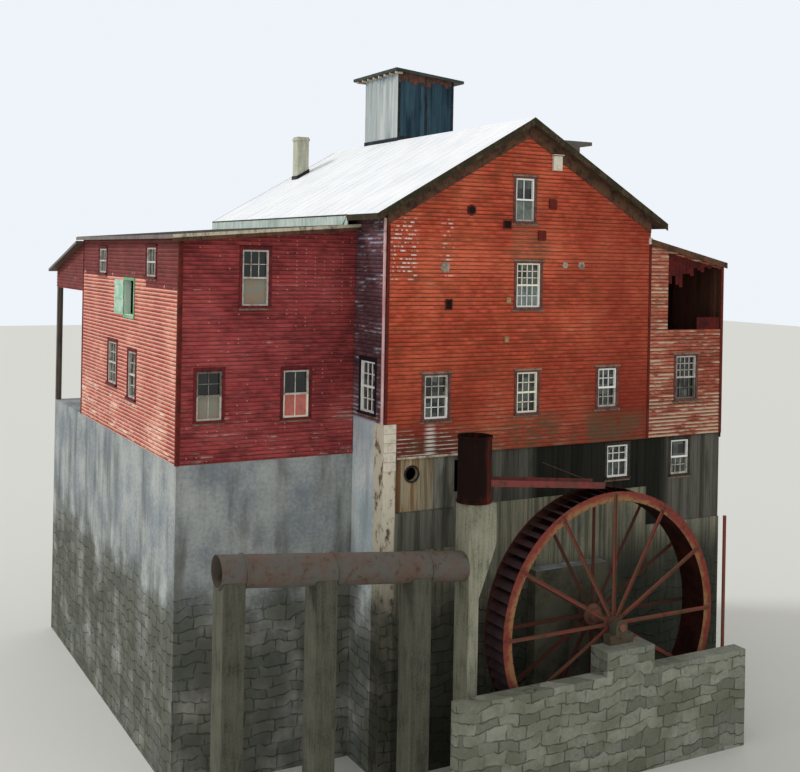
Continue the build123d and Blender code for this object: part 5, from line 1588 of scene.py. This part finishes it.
def hatch_lining():
    """The green frame round the goods hatch, and the battens of its shutter."""
    left, sill, width, height = HATCH
    right = left + width
    top = sill + height
    edge = 0.09
    frame = [
        block("edge", WING_END.point(left - edge, 0, sill - edge), WING_END.point(left, 0.04, top + edge)),
        block("edge", WING_END.point(left, 0, top), WING_END.point(right, 0.04, top + edge)),
        block("edge", WING_END.point(left, 0, sill - edge), WING_END.point(right, 0.04, sill)),
    ]
    finish(join("hatch_frame", frame), GREEN_TRIM)
    lining = [
        block("lining", WING_END.point(right - 0.02, -0.2, sill), WING_END.point(right, 0, top)),
        block("lining", WING_END.point(left, -0.2, sill), WING_END.point(left + 0.02, 0, top)),
        block("lining", WING_END.point(left, -0.2, sill), WING_END.point(right, 0, sill + 0.02)),
    ]
    finish(join("hatch_lining", lining), PALE_GREEN)
    left, sill, width, height = SHUTTER
    battens = [
        block("batten", WING_END.point(left, 0.04, z), WING_END.point(left + width, 0.06, z + 0.1))
        for z in (sill + 0.06, sill + height / 2 - 0.05, sill + height - 0.16)
    ]
    battens.append(block("edge", WING_END.point(left, 0.04, sill), WING_END.point(left + 0.07, 0.055, sill + height)))
    finish(join("shutter_battens", battens), GREEN_PAINT)


def loft_remnants():
    """What is left of the boards that closed the loft."""
    left, sill, width = LOFT
    top = RIGHT_ROOF_START - LOFT_HEADER
    slope = FRONT.slope(RIGHT_END, RIGHT_WALL_HEIGHT - LOFT_HEADER, -RIGHT_PITCH)
    boards = upright_boards("loft_remnants", FRONT, left, left + width, top - 0.95, top, 0.02, 23, width=0.16, ragged=0.4)
    cut(boards, *slope)
    corner = upright_boards("remnants", FRONT, left, left + 0.62, top - 1.7, top, 0.018, 29, width=0.155, ragged=0.9)
    cut(corner, *slope)
    low = upright_boards("remnants", FRONT, left + 1.3, left + width - 0.05, sill, sill + 0.42, 0.02, 31, width=0.18)
    pieces = [boards, corner, low]
    finish(join("loft_boards", pieces), LOFT_WOOD)


def turned_copies(piece, count):
    """Copies of a wheel piece turned about the axle, joined into one."""
    axle = spot(WHEEL_X, WHEEL_MIDDLE, WHEEL_Z)
    pieces = [piece]
    for n in range(1, count):
        copy = piece.copy()
        copy.data = piece.data.copy()
        bpy.context.scene.collection.objects.link(copy)
        turn = Matrix.Rotation(n * 2 * math.pi / count, 4, "Y")
        copy.data.transform(Matrix.Translation(axle) @ turn @ Matrix.Translation(-axle))
        pieces.append(copy)
    return join(piece.name, pieces)


def wheel_fittings():
    """Gusset plates and bolts where the arms meet the shrouds and the hubs."""
    plates = []
    bolts = []
    for face, out in ((WHEEL_FRONT, -1), (WHEEL_BACK, 1)):
        low = WHEEL_Z + WHEEL_RADIUS - SHROUD_DEPTH + 0.02
        high = WHEEL_Z + WHEEL_RADIUS - 0.07
        plate = block("gusset", spot(WHEEL_X - 0.17, face, low), spot(WHEEL_X + 0.17, face + out * 0.01, high))
        pick(plate, lambda corner: corner.z < spot(0, 0, low + 0.05).z)
        bpy.ops.transform.resize(value=(0.6, 1, 1), center_override=spot(WHEEL_X, face, low))
        done()
        plates.append(plate)
        for x, z in ((-0.13, high - 0.05), (0.13, high - 0.05), (-0.08, low + 0.05), (0.08, low + 0.05)):
            bolts.append(wheel_bolt(x, z, face + out * 0.008, out))
        for z in (WHEEL_Z + HUB_RADIUS - 0.05, WHEEL_Z + 0.24, high - 0.05, low + 0.05):
            bolts.append(wheel_bolt(-0.02, z, face + out * 0.012, out))
    plates = turned_copies(join("wheel_gussets", plates), ARM_COUNT)
    finish(plates, RED_STEEL, "wheel")
    bolts = turned_copies(join("wheel_bolts", bolts), ARM_COUNT)
    finish(bolts, BOLT_STEEL, "wheel")
    rivets = []
    count = ARM_COUNT * 6
    for face, out in ((WHEEL_FRONT, -1), (WHEEL_BACK, 1)):
        for depth in (0.03, SHROUD_DEPTH - 0.03):
            rivets.append(wheel_bolt(0, WHEEL_Z + WHEEL_RADIUS - depth, face, out))
    rivets = turned_copies(join("wheel_rivets", rivets), count)
    finish(rivets, BOLT_STEEL, "wheel")


def wheel_bolt(x, z, face, out):
    """A bolt head on a face of the wheel."""
    low = spot(WHEEL_X + x, face, z)
    high = spot(WHEEL_X + x, face + out * BOLT_HEIGHT, z)
    bpy.ops.object.select_all(action="DESELECT")
    turn = math.pi / 2
    place = (low + high) / 2
    bpy.ops.mesh.primitive_cylinder_add(vertices=6, radius=BOLT_RADIUS, depth=BOLT_HEIGHT, location=place, rotation=(turn, 0, 0))
    bpy.ops.object.transform_apply(location=True, rotation=True, scale=True)
    return bpy.context.object


verge_boards()
roof_seams()
wing_fascias()
cupola_boards()
chimney_details()
gable_fittings()
quoins()
hatch_lining()
loft_remnants()
wheel_fittings()
front_siding()
right_wing_siding()
right_end_siding()
right_upper_siding()
wing_front_siding()
wing_end_siding()
left_siding()
back_siding()
porch_gable_siding()
corner_boards()
front_planks()
sashes()
head_boards()
add_camera()
add_floor()
add_light()
bpy.context.scene.view_settings.view_transform = "Standard"
